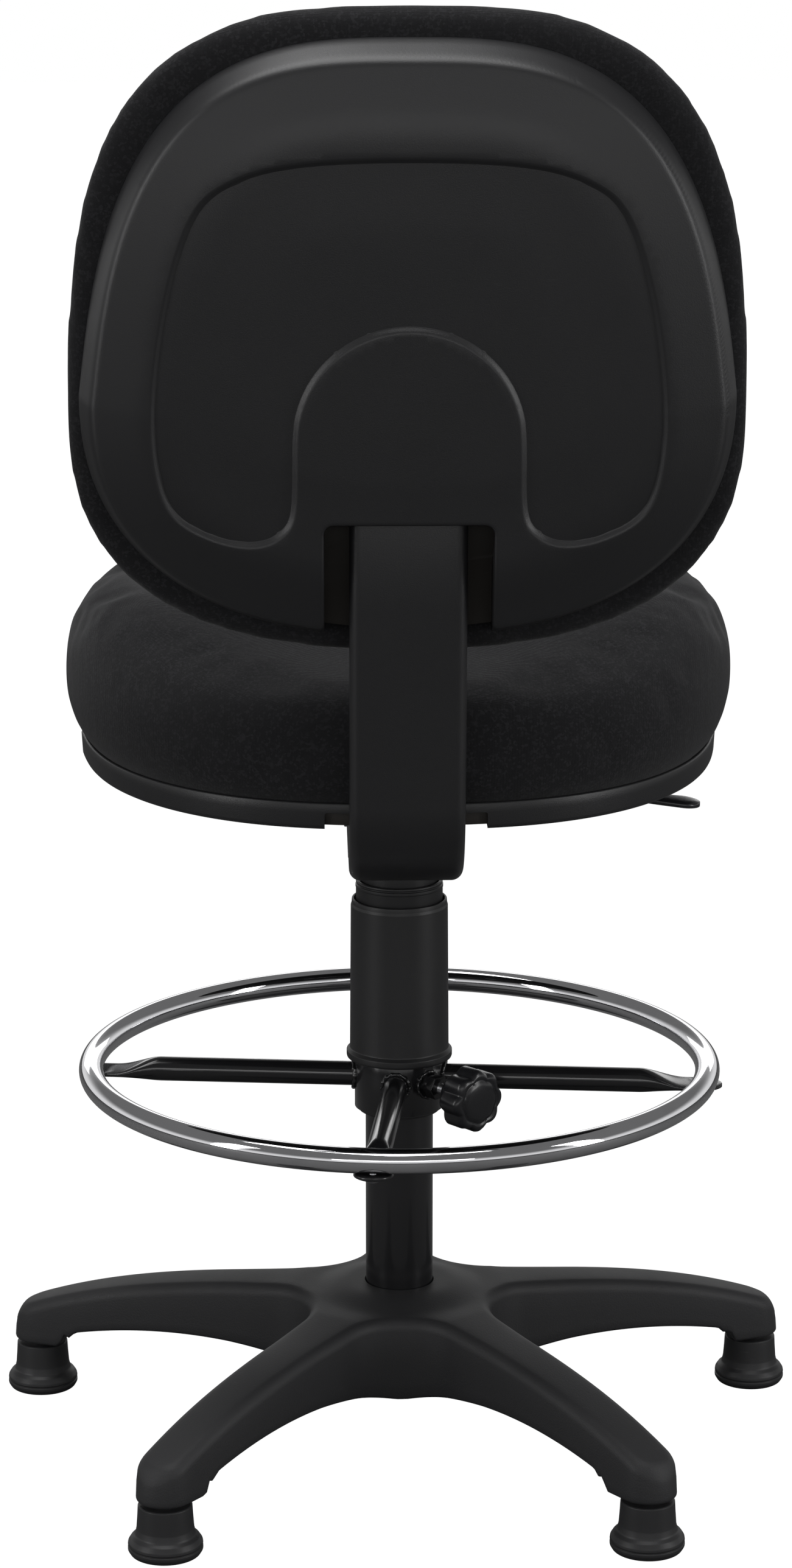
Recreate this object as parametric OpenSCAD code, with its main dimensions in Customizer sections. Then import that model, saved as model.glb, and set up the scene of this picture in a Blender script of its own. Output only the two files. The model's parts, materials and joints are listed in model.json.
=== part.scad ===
// Drafting chair. Star base of moulded nylon on bell glides, gas column in telescopic sleeves,
// clamped foot ring, seat on a steel mechanism and a back that slides on a J-shaped bar.
// Millimetres. The origin is on the floor under the column and the chair faces -Y.

/* [Base] */
// Radius of the circle that the glides stand on
glide_circle_r = 288; // [270:1:300]
// Width of a leg at its end
leg_end_w = 41; // [38:1:46]
// Width of a leg beside the hub
leg_root_w = 50; // [46:1:56]
// Height of the hub's top above the floor
hub_top = 118; // [114:1:126]
// Height of the underside of a leg's socket
socket_z = 41; // [40:1:44]
// Wall thickness of the moulded base
base_wall = 4; // [3:0.5:5]
// Height of a bell glide
glide_h = 38; // [34:1:39]
// Largest radius of a bell glide
glide_flange_r = 26.5; // [24:0.5:30]

/* [Column] */
// Outside diameter of the column tube
column_d = 50; // [50:1:50]
// Height of the column tube's top
column_top = 410; // [400:1:412]
// Outside diameter of the gas cylinder
cylinder_d = 28; // [28:1:28]
// Diameter of the piston rod
rod_d = 10; // [9:0.5:10]
// Radius of the lower sleeve at its foot
lower_sleeve_r = 36.5; // [36:0.5:37]
// Radius of the middle sleeve
middle_sleeve_r = 31.9; // [31.5:0.1:32]
// Radius of the upper sleeve
upper_sleeve_r = 27.9; // [27.5:0.1:28]

/* [Foot ring] */
// Radius of the ring's centre line
ring_r = 227.7; // [215:0.1:235]
// Diameter of the ring's tube
ring_tube_d = 18; // [16:1:20]
// Height of the ring's centre line
ring_z = 286.4; // [284:0.1:288]
// Diameter of a spoke's tube
spoke_d = 18; // [16:1:18]
// Angle of the first spoke from the +Y side
spoke_turn = -5.85; // [-10:0.05:0]
// Angle of the clamp knob from the +X side
knob_turn = 129.5; // [125:0.5:135]
// Radius of the clamp knob over its lobes
knob_r = 23.5; // [21:0.5:25]

/* [Seat] */
// Height of the seam between the pan and the cushion
seam_z = 536; // [534:1:538]
// Half width of the pan
pan_half_w = 232; // [225:1:236]
// Reach of the pan behind the column
pan_rear = 213; // [210:1:214]
// Reach of the pan in front of the column
pan_front = 214; // [205:1:225]
// Height of the pan's wall
pan_h = 19; // [19:1:19]
// Height of the cushion's crown above the floor
seat_top = 645; // [640:1:648]
// How far the cushion bulges past the pan
seat_bulge = 10; // [6:1:11]

/* [Mechanism] */
// Height of the recline pin
pin_z = 492; // [491:0.5:493]
// Distance of the recline pin behind the column
pin_y = 62; // [60:1:64]
// Distance between the centre and the middle of a side cheek
cheek_x = 37; // [36.5:0.5:37.5]

/* [Back] */
// Lean of the upright from vertical, in degrees
back_lean = 7; // [5:0.5:8]
// Height of the centre of the bar under the seat
bar_z = 490; // [489:0.5:491]
// Where the bar begins to bend up, behind the column
bend_y = 182.5; // [182:0.5:186]
// Bend radius of the bar's centre line
bend_r = 60; // [58:1:62]
// Width of the bar's cover
cover_w = 78; // [74:1:80]
// Thickness of the bar's cover
cover_t = 26; // [24:1:26]
// Half width of the back shell
shell_half_w = 215; // [205:1:220]
// Half width of the back cushion
back_half_w = 224; // [215:1:230]
// Thickness of the back cushion
back_t = 56; // [50:1:60]

/* [Hidden] */
$fn = 72;
leg_count = 5;
spoke_count = 4;
leg_pitch = 360/leg_count;
column_r = column_d/2;
column_bore_r = column_r - 2;
column_foot = 44;
cylinder_r = cylinder_d/2;
cylinder_bore_r = cylinder_r - 2;
cylinder_foot = 86;
taper_z = 460;
taper_top = 500;
taper_r = cylinder_r - 0.8;
rod_r = rod_d/2;
fit = 0.06;
gap = 0.3;

stem_r = 5.5;
stem_top = 66;
leg_end_r = leg_end_w/2;
leg_root_r = leg_root_w/2;
rib_t = 3;
fillet_r = 45;
fillet_at = (leg_root_r + fillet_r)/sin(leg_pitch/2);

race_z = 52;
race_top = 59;
ball_r = 2.3;
ball_circle_r = 10;
bush_foot = 330;
bush_flange = 3;

hub_r = 33;
hub_low = 255;
hub_high = 292.7;
liner_r = 28;
spoke_z = 278;
spoke_flat_z = ring_z - ring_tube_d/2 - 3.1;
spoke_end_r = ring_r + 11;
screw_r = 3.95;

pan_floor_z = seam_z - pan_h;
board_z = pan_floor_z + 3;
board_top = board_z + 12;
plate_x = 88;
plate_front = 80;
plate_rear = 98;
bolt_spots = [[-72, -62], [72, -62], [-72, 82], [72, 82]];
notch_w = 111;
pin_r = 6;
eye_r = 12;
bar_w = 60;
bar_t = 8;

bend_angle = 90 - back_lean;
upright_y = bend_y + bend_r*sin(bend_angle);
upright_z = bar_z + bend_r*(1 - cos(bend_angle));
shell_mid = 279;
shell_up = 233.5;
shell_down = 165;
shell_rim = -24;
shell_back = 24;
notch_top = 202;
cover_top = 214;
bar_top = 345;
board_back = -14;
board_front = -24;
bracket_low = 222;
bracket_high = 300;
bracket_screws = [[-42, 234], [42, 234], [-42, 288], [42, 288]];
clip_spots = [[-150, 190], [150, 190], [-160, 330], [160, 330], [-105, 450], [105, 450]];
tooth_pitch = 10;
tooth_count = 7;

lever_rod_r = 4.5;
lever_pin_r = 1.2;
height_slope = 2.5;
lock_slope = 1.5;
lever_z = 508;
lock_lever_y = 45;
lock_lever_z = 504;

// ---- outlines and helpers ----

// Closed outline with its own curvature above and below the widest line
function soft_outline(half_w, up, down, n_up, n_down, taper_up, taper_down, steps = 64) = [
  for (i = [0:steps - 1])
    let (
      t = 360*(i + 0.5)/steps,
      s = sin(t),
      c = cos(t),
      n = s > 0 ? n_up : n_down,
      reach = s > 0 ? up : down,
      taper = s > 0 ? taper_up : taper_down,
      v = pow(abs(s), 2/n),
      w = pow(abs(c), 2/n)*(1 - taper*v)
    )
    [half_w*sign(c)*w, reach*sign(s)*v]
];

// Height of a leg's top and of its underside at a distance from the column
function leg_top(r) = hub_top - 6 - 0.091*max(0, r - 80) - 2.1e-6*pow(max(0, r - 80), 3);
function leg_under(r) = 63 - 0.0012*pow(r - 165, 2);

module tube(r_out, r_in, low, high) {
  translate([0, 0, low])
    difference() {
      cylinder(r = r_out, h = high - low);
      translate([0, 0, -1]) cylinder(r = r_in, h = high - low + 2);
    }
}

module rod_x(r, from, to) {
  translate([from, 0, 0]) rotate([0, 90, 0]) cylinder(r = r, h = to - from);
}

module soft_bar(w, t, corner) {
  // Rectangle with rounded corners, centred
  square([w - 2*corner, t], center = true);
  square([w, t - 2*corner], center = true);
  for (x = [-1, 1])
    for (y = [-1, 1])
      translate([x*(w/2 - corner), y*(t/2 - corner)]) circle(r = corner);
}

// Outline of a flat tongue that widens from one rounded end to the other
function tongue(r_root, r_tip, reach) =
  let (lean = asin((r_tip - r_root)/reach))
  concat(
    [for (a = [-90 - lean:(180 + 2*lean)/20:90.01 + lean]) [reach + r_tip*cos(a), r_tip*sin(a)]],
    [for (a = [90 + lean:(180 - 2*lean)/16:270.01 - lean]) [r_root*cos(a), r_root*sin(a)]]
  );

module at_leg(k) {
  rotate([0, 0, -90 + leg_pitch*k]) children();
}

module at_spoke(k) {
  rotate([0, 0, 90 + spoke_turn + 360/spoke_count*k]) children();
}

module at_knob() {
  translate([0, 0, spoke_z]) rotate([0, 0, knob_turn]) children();
}

module at_back() {
  translate([0, upright_y, upright_z]) rotate([-back_lean, 0, 0]) children();
}

// Draws a face in the plane of the back and gives it a thickness from one depth to another
module across_back(from, to) {
  at_back() translate([0, to, 0]) rotate([90, 0, 0]) linear_extrude(to - from) children();
}

module at_lever(y, z, slope) {
  translate([-cheek_x, y, z]) rotate([0, 0, 180]) rotate([0, slope, 0]) children();
}

// ---- base ----

// Half width of a leg at a distance from the column
function leg_half(r) = leg_root_r + (leg_end_r - leg_root_r)*r/glide_circle_r;

module leg_side() {
  // Side view of a leg, from the column out to its end
  end_x = glide_circle_r + leg_end_r;
  polygon(concat(
    [[0, 50], [0, leg_top(60)], [60, leg_top(60)]],
    [for (r = [100:28:end_x - 20]) [r, leg_top(r)]],
    [[end_x - 9, leg_top(end_x - 9)], [end_x + 1, leg_top(end_x) - 5], [end_x + 1, socket_z]],
    [[glide_circle_r - 21, socket_z], [glide_circle_r - 24, leg_under(glide_circle_r - 24)]],
    [for (r = [240:-30:60]) [r, leg_under(r)]]
  ));
}

module leg_plan() {
  polygon([
    [0, -leg_root_r], [glide_circle_r, -leg_end_r], [glide_circle_r, leg_end_r], [0, leg_root_r]
  ]);
  translate([glide_circle_r, 0]) circle(r = leg_end_r);
}

module leg_pockets() {
  // Open bays under a leg, either side of its long rib
  bay = 40;
  for (x = [100:bay:220])
    for (side = [-1, 1])
      let (w = leg_half(x + bay) - base_wall - rib_t/2)
        translate([x, side > 0 ? rib_t/2 : -rib_t/2 - w, 30])
          cube([bay - rib_t, w, leg_top(x + bay) - base_wall - 30]);
}

module hub_pockets() {
  // Open bays under the hub, between the boss of the column and the legs
  difference() {
    translate([0, 0, 40]) cylinder(r = 62, h = 63);
    cylinder(r = 35, h = hub_top);
    for (k = [0:leg_count - 1])
      rotate([0, 0, 90 + leg_pitch*k]) translate([0, -rib_t/2, 0]) cube([80, rib_t, hub_top]);
  }
}

module base_star() {
  color([0.09, 0.09, 0.095])
    difference() {
      union() {
        for (k = [0:leg_count - 1])
          at_leg(k)
            intersection() {
              rotate([90, 0, 0]) translate([0, 0, -leg_root_r]) linear_extrude(leg_root_w) leg_side();
              translate([0, 0, 30]) linear_extrude(hub_top) leg_plan();
            }
        translate([0, 0, 50]) cylinder(r = fillet_at*cos(leg_pitch/2), h = leg_top(80) - 50);
        translate([0, 0, 60]) cylinder(r1 = 48, r2 = 36, h = hub_top - 60);
      }
      for (k = [0:leg_count - 1])
        at_leg(k + 0.5) translate([fillet_at, 0, 20]) cylinder(r = fillet_r, h = hub_top);
      for (k = [0:leg_count - 1])
        at_leg(k) {
          leg_pockets();
          translate([glide_circle_r, 0, socket_z - 1]) cylinder(r = stem_r, h = stem_top - socket_z + 1);
        }
      hub_pockets();
      translate([0, 0, 30]) cylinder(r = column_r, h = hub_top);
    }
}

module glide(k) {
  color([0.1, 0.1, 0.105])
    at_leg(k) translate([glide_circle_r, 0, 0])
      rotate_extrude()
        polygon([
          [0, 0], [21.5, 0], [24.5, 1.5], [26, 3.5], [glide_flange_r, 6.5], [glide_flange_r, 8.5],
          [25.6, 11.5], [24, 13.8], [22, 15], [20.6, 17], [20.1, 21], [19.2, glide_h - 1.2],
          [18.2, glide_h], [stem_r, glide_h], [stem_r, 14], [0, 14]
        ]);
}

module glide_stems() {
  color([0.45, 0.45, 0.47])
    for (k = [0:leg_count - 1])
      at_leg(k) translate([glide_circle_r, 0, 14]) cylinder(r = stem_r, h = stem_top - 14);
}

// ---- column and gas lift ----

module column_tube() {
  color([0.03, 0.03, 0.03]) tube(column_r, column_bore_r, column_foot, column_top);
}

module column_plate() {
  color([0.5, 0.5, 0.52]) tube(column_bore_r, 4.08, 46, 50);
}

module guide_bush() {
  color([0.8, 0.8, 0.76]) {
    tube(column_bore_r, cylinder_r + fit, bush_foot, column_top);
    tube(column_r, cylinder_r + fit, column_top, column_top + bush_flange);
  }
}

module rod_washer() {
  color([0.6, 0.6, 0.62]) tube(9, 4.08, 44.8, 46);
}

module lower_race() {
  color([0.6, 0.6, 0.62]) tube(14, 6, 50, race_z);
}

module upper_race() {
  color([0.6, 0.6, 0.62]) tube(14, 4, race_top - 2, race_top);
}

module bearing_balls() {
  color([0.7, 0.7, 0.72])
    for (a = [0:45:315])
      rotate([0, 0, a]) translate([ball_circle_r, 0, (race_z + race_top - 2)/2]) sphere(r = ball_r);
}

module piston_rod() {
  color([0.75, 0.75, 0.77])
    difference() {
      union() {
        translate([0, 0, 41]) cylinder(r = 4, h = race_top - 41);
        translate([0, 0, race_top]) cylinder(r = rod_r, h = 306 - race_top);
        translate([0, 0, 306]) cylinder(r = 4, h = 14);
      }
      tube(6, 3.2, 43.3, 44.5);
    }
}

module rod_clip() {
  color([0.3, 0.3, 0.32]) tube(7, 3.2, 43.3, 44.5);
}

module piston() {
  color([0.2, 0.2, 0.2]) tube(cylinder_bore_r - fit, 4, 306, 320);
}

module bump_stop() {
  color([0.06, 0.06, 0.06]) tube(11, rod_r, race_top, cylinder_foot - 0.5);
}

module gas_cylinder() {
  color([0.05, 0.05, 0.05])
    difference() {
      union() {
        translate([0, 0, cylinder_foot]) cylinder(r = cylinder_r, h = taper_z - cylinder_foot);
        translate([0, 0, taper_z]) cylinder(r1 = cylinder_r, r2 = taper_r, h = taper_top - taper_z);
      }
      translate([0, 0, cylinder_foot - 1]) cylinder(r = cylinder_bore_r, h = 420);
    }
}

module rod_guide() {
  color([0.2, 0.2, 0.2]) tube(cylinder_bore_r, rod_r + fit, cylinder_foot, cylinder_foot + 18);
}

module valve_body() {
  color([0.7, 0.6, 0.3]) tube(cylinder_bore_r, 3, taper_top - 18, taper_top);
}

module valve_pin() {
  color([0.75, 0.75, 0.77]) translate([0, 0, taper_top - 14]) cylinder(r = 3 - fit, h = 22);
}

// ---- telescopic sleeves ----

module upper_sleeve() {
  color([0.08, 0.08, 0.08]) {
    tube(upper_sleeve_r, upper_sleeve_r - 1.5, 308, 452);
    tube(upper_sleeve_r - 1, cylinder_r, 449.5, 452);
  }
}

module middle_sleeve() {
  color([0.08, 0.08, 0.08]) {
    tube(middle_sleeve_r, middle_sleeve_r - 2.3, 302, 428);
    tube(middle_sleeve_r + 0.3, middle_sleeve_r - 2.3, 424, 427);
  }
}

module lower_sleeve() {
  color([0.08, 0.08, 0.08])
    rotate_extrude()
      polygon([
        [liner_r, 293], [39, 293], [39, 299.5], [lower_sleeve_r, 301], [lower_sleeve_r - 1, 414],
        [33.2, 414], [33.2, 296], [liner_r, 296]
      ]);
}

// ---- foot ring ----

module ring_bush() {
  color([0.12, 0.12, 0.12]) {
    tube(liner_r, column_r + 0.08, 252.2, 296);
    tube(30, liner_r - 1, 252.2, hub_low - gap);
  }
}

module ring_hub() {
  color([0.04, 0.04, 0.04])
    difference() {
      tube(hub_r, liner_r + 0.08, hub_low, hub_high);
      at_knob() rod_x(4, 20, 40);
    }
}

module spoke_end(from) {
  // Flat end of a spoke, rounded at the tip
  polygon(concat(
    [[from, -14]],
    [for (a = [-90:10:90]) [spoke_end_r - 14 + 14*cos(a), 14*sin(a)]],
    [[from, 14]]
  ));
}

module spoke(k) {
  flat_r = ring_r - 15;
  color([0.04, 0.04, 0.04])
    at_spoke(k)
      difference() {
        union() {
          translate([0, 0, spoke_z])
            difference() {
              rod_x(spoke_d/2, 20, flat_r - 24);
              rod_x(spoke_d/2 - 1.5, 10, flat_r - 26);
            }
          hull() {
            translate([0, 0, spoke_z]) rod_x(spoke_d/2 + 0.1, flat_r - 24.5, flat_r - 24, $fn = 32);
            translate([flat_r, -14.1, spoke_flat_z - 0.1]) cube([0.5, 28.2, 3.1]);
          }
          translate([0, 0, spoke_flat_z]) linear_extrude(3) spoke_end(flat_r + 0.2);
        }
        translate([0, 0, hub_low - 20]) cylinder(r = hub_r, h = 80);
        translate([ring_r, 0, spoke_flat_z - 1]) cylinder(r = 3.2, h = 5);
      }
}

module foot_ring() {
  color([0.8, 0.8, 0.82])
    difference() {
      translate([0, 0, ring_z])
        rotate_extrude()
          translate([ring_r, 0])
            difference() {
              circle(d = ring_tube_d);
              circle(d = ring_tube_d - 3);
            }
      for (k = [0:spoke_count - 1])
        at_spoke(k) translate([ring_r, 0, ring_z - 12]) cylinder(r = 3, h = 8);
    }
}

module ring_bolts() {
  color([0.3, 0.3, 0.32])
    for (k = [0:spoke_count - 1])
      at_spoke(k) translate([ring_r, 0, 0]) {
        translate([0, 0, spoke_flat_z - 3]) cylinder(r1 = 4, r2 = 5.5, h = 3);
        translate([0, 0, spoke_flat_z - 0.5]) cylinder(r = 3, h = 9.5);
      }
}

module clamp_nut() {
  color([0.3, 0.3, 0.32])
    difference() {
      at_knob() rotate([30, 0, 0]) rod_x(9.2, 28, 46, $fn = 6);
      translate([0, 0, hub_low - 20]) cylinder(r = hub_r, h = 80);
      at_knob() rod_x(4, 20, 50);
    }
}

module clamp_pad() {
  color([0.7, 0.6, 0.3]) at_knob() rod_x(screw_r, liner_r + 0.4, 31.3);
}

module clamp_screw() {
  color([0.5, 0.5, 0.52]) at_knob() rod_x(screw_r, 31.6, 78);
}

module knob_plan() {
  circle(r = knob_r - 2.5);
  for (a = [0:45:315]) rotate(a) translate([knob_r - 6.2, 0]) circle(r = 6.2);
}

module clamp_knob() {
  color([0.05, 0.05, 0.05])
    at_knob()
      difference() {
        union() {
          translate([70, 0, 0]) rotate([0, 90, 0]) linear_extrude(19) knob_plan();
          rod_x(knob_r - 4, 88, 91);
          rod_x(11, 58, 71);
        }
        rod_x(screw_r, 50, 78);
      }
}

// ---- seat mechanism ----

module taper_socket() {
  color([0.12, 0.12, 0.12])
    difference() {
      translate([0, 0, 452]) cylinder(r = 21, h = 51);
      translate([0, 0, 450]) cylinder(r = cylinder_r, h = taper_z - 450);
      translate([0, 0, taper_z]) cylinder(r1 = cylinder_r, r2 = taper_r, h = taper_top - taper_z);
      translate([0, 0, taper_top - 1]) cylinder(r = taper_r, h = 10);
    }
}

module mechanism_housing() {
  color([0.1, 0.1, 0.1])
    difference() {
      union() {
        translate([-plate_x, -plate_front, board_z - 3])
          cube([2*plate_x, plate_front + plate_rear, 3]);
        for (x = [-1, 1])
          translate([x*cheek_x - 1.5, -48, 467]) cube([3, 138, board_z - 468]);
        translate([-cheek_x, -48, 467]) cube([2*cheek_x, 3, board_z - 468]);
        translate([-cheek_x, -48, 467]) cube([2*cheek_x, 93, 3]);
      }
      for (p = bolt_spots) translate([p[0], p[1], board_z - 5]) cylinder(r = 3.2, h = 8);
      translate([0, pin_y, pin_z]) rod_x(pin_r, -50, 50);
      translate([0, 0, 460]) cylinder(r = 21, h = 15);
      translate([0, 0, lever_z]) rod_x(8, -cheek_x - 6, -cheek_x + 4);
      translate([0, lock_lever_y, lock_lever_z]) rod_x(8, -cheek_x - 6, -cheek_x + 4);
    }
}

module lever_bushes() {
  color([0.1, 0.1, 0.1])
    for (p = [[0, lever_z], [lock_lever_y, lock_lever_z]])
      difference() {
        translate([0, p[0], p[1]]) rod_x(8, -cheek_x - 1.5, -cheek_x + 1.5);
        translate([0, p[0], p[1]]) rod_x(5.3, -60, -30);
        lever_axis(p[0], p[1], lever_pin_r);
      }
}

module lever_axis(y, z, r) {
  // Round bar along the pivot of a lever
  translate([-cheek_x, y - 7.5, z]) rotate([-90, 0, 0]) cylinder(r = r, h = 15);
}

module lever_pins() {
  color([0.6, 0.6, 0.62]) {
    lever_axis(0, lever_z, lever_pin_r);
    lever_axis(lock_lever_y, lock_lever_z, lever_pin_r);
  }
}

module recline_pin() {
  color([0.6, 0.6, 0.62])
    translate([0, pin_y, pin_z]) {
      rod_x(pin_r, -cheek_x - 3, cheek_x + 3);
      rod_x(9, -cheek_x - 4, -cheek_x - 1.5);
      rod_x(9, cheek_x + 1.5, cheek_x + 4);
    }
}

// Coil of round wire, swept ring by ring
module recline_spring() {
  wire_r = 1.4;
  coil_r = 6.6;
  low = bar_z + bar_t/2 + gap;
  high = board_z - 3;
  turns = 3.5;
  rings = 56;
  sides = 8;
  rise = high - low - 2*wire_r;
  points = [
    for (i = [0:rings], j = [0:sides - 1])
      let (
        a = 360*turns*i/rings,
        b = 360*j/sides,
        r = coil_r + wire_r*cos(b)
      )
      [r*cos(a), r*sin(a), low + wire_r + rise*i/rings + wire_r*sin(b)]
  ];
  walls = [
    for (i = [0:rings - 1], j = [0:sides - 1])
      [i*sides + j, i*sides + (j + 1)%sides, (i + 1)*sides + (j + 1)%sides, (i + 1)*sides + j]
  ];
  ends = [[for (j = [sides - 1:-1:0]) j], [for (j = [0:sides - 1]) rings*sides + j]];
  color([0.6, 0.6, 0.62])
    translate([0, 37, 0]) polyhedron(points, concat(walls, ends), convexity = 8);
}

module lever_blade(from, reach, slope) {
  // Socket round the rod and a flat tongue that slopes down from it
  difference() {
    union() {
      rod_x(6.2, from - 24, from);
      translate([from - 8, 0, 0]) rotate([0, slope, 0])
        translate([0, 0, -2.6]) linear_extrude(5.2) polygon(tongue(7, 13, reach));
    }
    rod_x(lever_rod_r, from - 30, from - 4);
  }
}

module height_lever() {
  color([0.1, 0.1, 0.1])
    difference() {
      union() {
        at_lever(0, lever_z, height_slope) rod_x(lever_rod_r, -3, 112);
        at_lever(0, lever_z, 0) {
          rod_x(lever_rod_r + 0.1, -6, 2);
          translate([-cheek_x - 6, -6, 0.3]) cube([cheek_x + 2, 12, 4.1]);
        }
      }
      lever_axis(0, lever_z, lever_pin_r + fit);
    }
}

module height_paddle() {
  color([0.04, 0.04, 0.04]) at_lever(0, lever_z, height_slope) lever_blade(116, 32, 3);
}

module lock_lever() {
  color([0.1, 0.1, 0.1])
    difference() {
      union() {
        at_lever(lock_lever_y, lock_lever_z, lock_slope) rod_x(lever_rod_r, -3, 123);
        at_lever(lock_lever_y, lock_lever_z, 0) {
          rod_x(lever_rod_r + 0.1, -6, 2);
          translate([-12, -5, -4.2]) cube([8, 10, 8.4]);
        }
      }
      lever_axis(lock_lever_y, lock_lever_z, lever_pin_r + fit);
    }
}

module lock_paddle() {
  color([0.04, 0.04, 0.04]) at_lever(lock_lever_y, lock_lever_z, lock_slope) lever_blade(128, 46, 5);
}

// ---- seat ----

// Plan of the seat, with its rear edge brought forward by rear_cut
module pan_plan(inset, rear_cut = 0) {
  polygon([
    for (p = soft_outline(pan_half_w - inset, pan_rear + 20 - inset - rear_cut,
                          pan_front - 20 - inset, 2.5, 3.4, 0.13, 0.03))
      [p[0], p[1] - 20]
  ]);
}

module seat_board() {
  color([0.7, 0.55, 0.38])
    difference() {
      translate([0, 0, board_z]) linear_extrude(board_top - board_z) pan_plan(3.5);
      for (p = bolt_spots) {
        translate([p[0], p[1], board_z - 1]) cylinder(r = 4.3, h = 20);
        translate([p[0], p[1], board_top - 1.2]) cylinder(r = 9, h = 5);
      }
    }
}

module seat_pan() {
  color([0.11, 0.11, 0.115])
    difference() {
      translate([0, 0, pan_floor_z]) linear_extrude(pan_h) pan_plan(0);
      translate([0, 0, board_z]) linear_extrude(pan_h) pan_plan(3);
      translate([-plate_x - 1, -plate_front - 1, pan_floor_z - 1])
        cube([2*plate_x + 2, plate_front + plate_rear + 2, pan_h - 2]);
      translate([-notch_w/2, plate_rear - 1, pan_floor_z - 1]) cube([notch_w, 140, 13]);
    }
}

module seat_bolts() {
  for (p = bolt_spots)
    translate([p[0], p[1], 0]) {
      color([0.55, 0.55, 0.57]) {
        translate([0, 0, board_z - 7.5]) cylinder(r = 5.8, h = 4.5, $fn = 6);
        translate([0, 0, board_z - 4]) cylinder(r = 3, h = 15);
        tube(4.3, 3, board_z + 1, board_top - 1.2);
        tube(9, 3, board_top - 1.2, board_top);
      }
    }
}

module seat_cushion() {
  color([0.03, 0.03, 0.035])
    hull() {
      translate([0, 0, board_top + 0.2]) linear_extrude(1) pan_plan(6);
      translate([0, 0, 575]) linear_extrude(14) pan_plan(-seat_bulge);
      translate([0, 0, seat_top - 26]) linear_extrude(1) pan_plan(-3, 8);
      translate([0, 0, seat_top - 8]) linear_extrude(1) pan_plan(6, 34);
      translate([0, 0, seat_top - 1]) linear_extrude(1) pan_plan(34, 46);
    }
}

// ---- back ----

// Sweeps a section along the bar: level under the seat, round the bend and up. The straight parts
// are $grow larger than the bend, so that all three join in one solid
module along_bar(from_y, top) {
  let ($grow = 0.1) {
    translate([0, from_y, bar_z]) rotate([90, 0, 180]) linear_extrude(bend_y + 0.5 - from_y) children();
    at_back() translate([0, 0, -0.5]) linear_extrude(top + 0.5) children();
  }
  let ($grow = 0)
    translate([0, bend_y, bar_z + bend_r])
      rotate([0, 90, 0]) rotate_extrude(angle = bend_angle)
        translate([bend_r, 0]) rotate(90) children();
}

module bar_section() {
  square([bar_w + $grow, bar_t + $grow], center = true);
}

module back_bar() {
  color([0.1, 0.1, 0.1])
    difference() {
      union() {
        along_bar(26, bar_top) bar_section();
        translate([0, pin_y, pin_z]) rod_x(eye_r, -cheek_x + 3.5, cheek_x - 3.5);
      }
      translate([0, pin_y, pin_z]) rod_x(pin_r + fit, -60, 60);
      at_back()
        for (i = [0:tooth_count - 1])
          translate([0, 10, bracket_low + 16 + tooth_pitch*i]) rotate([90, 0, 0]) cylinder(r = 3.5, h = 20);
    }
}

module bar_cover() {
  color([0.1, 0.1, 0.105])
    difference() {
      along_bar(97, cover_top) soft_bar(cover_w + $grow, cover_t + $grow, 8);
      along_bar(90, cover_top + 10) bar_section();
    }
}

module back_bracket() {
  color([0.15, 0.15, 0.15])
    difference() {
      union() {
        across_back(board_back, board_back + 2.5)
          translate([-52, bracket_low]) square([104, bracket_high - bracket_low]);
        across_back(board_back + 2, 7)
          translate([-33, bracket_low]) square([66, bracket_high - bracket_low]);
      }
      across_back(board_back - 1, bar_t/2 + gap)
        translate([-bar_w/2 - gap, bracket_low - 5]) square([bar_w + 2*gap, 100]);
      at_back()
        for (p = bracket_screws) translate([p[0], -5, p[1]]) rotate([90, 0, 0]) cylinder(r = 2.5, h = 20);
    }
}

module bracket_guide() {
  color([0.75, 0.75, 0.72])
    across_back(board_back, -bar_t/2 - gap)
      translate([-bar_w/2, bracket_low + 2]) square([bar_w, bracket_high - bracket_low - 4]);
}

module bracket_bolts() {
  color([0.6, 0.6, 0.62])
    at_back()
      for (p = bracket_screws)
        translate([p[0], 0, p[1]]) rotate([90, 0, 0]) {
          translate([0, 0, 11.5]) cylinder(r = 2.5, h = 11);
          translate([0, 0, 8.5]) cylinder(r = 4.6, h = 3);
        }
}

module shell_plan(inset) {
  translate([0, shell_mid])
    polygon(soft_outline(shell_half_w - inset, shell_up - inset, shell_down - inset,
                         3, 2.33, 0.13, 0));
}

module shell_form(inset, back) {
  // Dished form between the rim and the flat of the back
  hull() {
    across_back(shell_rim - inset/3, shell_rim + 8) shell_plan(inset);
    across_back(back - 17, back - 16) shell_plan(inset + 9);
    across_back(back - 1, back) shell_plan(inset + 52);
  }
}

module back_shell() {
  color([0.11, 0.11, 0.115])
    difference() {
      union() {
        difference() {
          shell_form(0, shell_back);
          shell_form(3, shell_back - 3);
        }
        intersection() {
          shell_form(1, shell_back - 1);
          at_back()
            for (p = clip_spots)
              translate([p[0], 30, p[1]]) rotate([90, 0, 0]) cylinder(r = 7, h = 30 - board_back);
        }
      }
      across_back(shell_rim - 10, shell_back + 10)
        translate([-notch_w/2, 0]) square([notch_w, notch_top]);
      at_back()
        for (p = clip_spots)
          translate([p[0], -6, p[1]]) rotate([90, 0, 0]) cylinder(r = 3, h = 20);
    }
}

module shell_clips() {
  color([0.75, 0.75, 0.72])
    at_back()
      for (p = clip_spots)
        translate([p[0], -6, p[1]]) rotate([90, 0, 0]) cylinder(r = 3, h = -6 - board_front);
}

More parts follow.
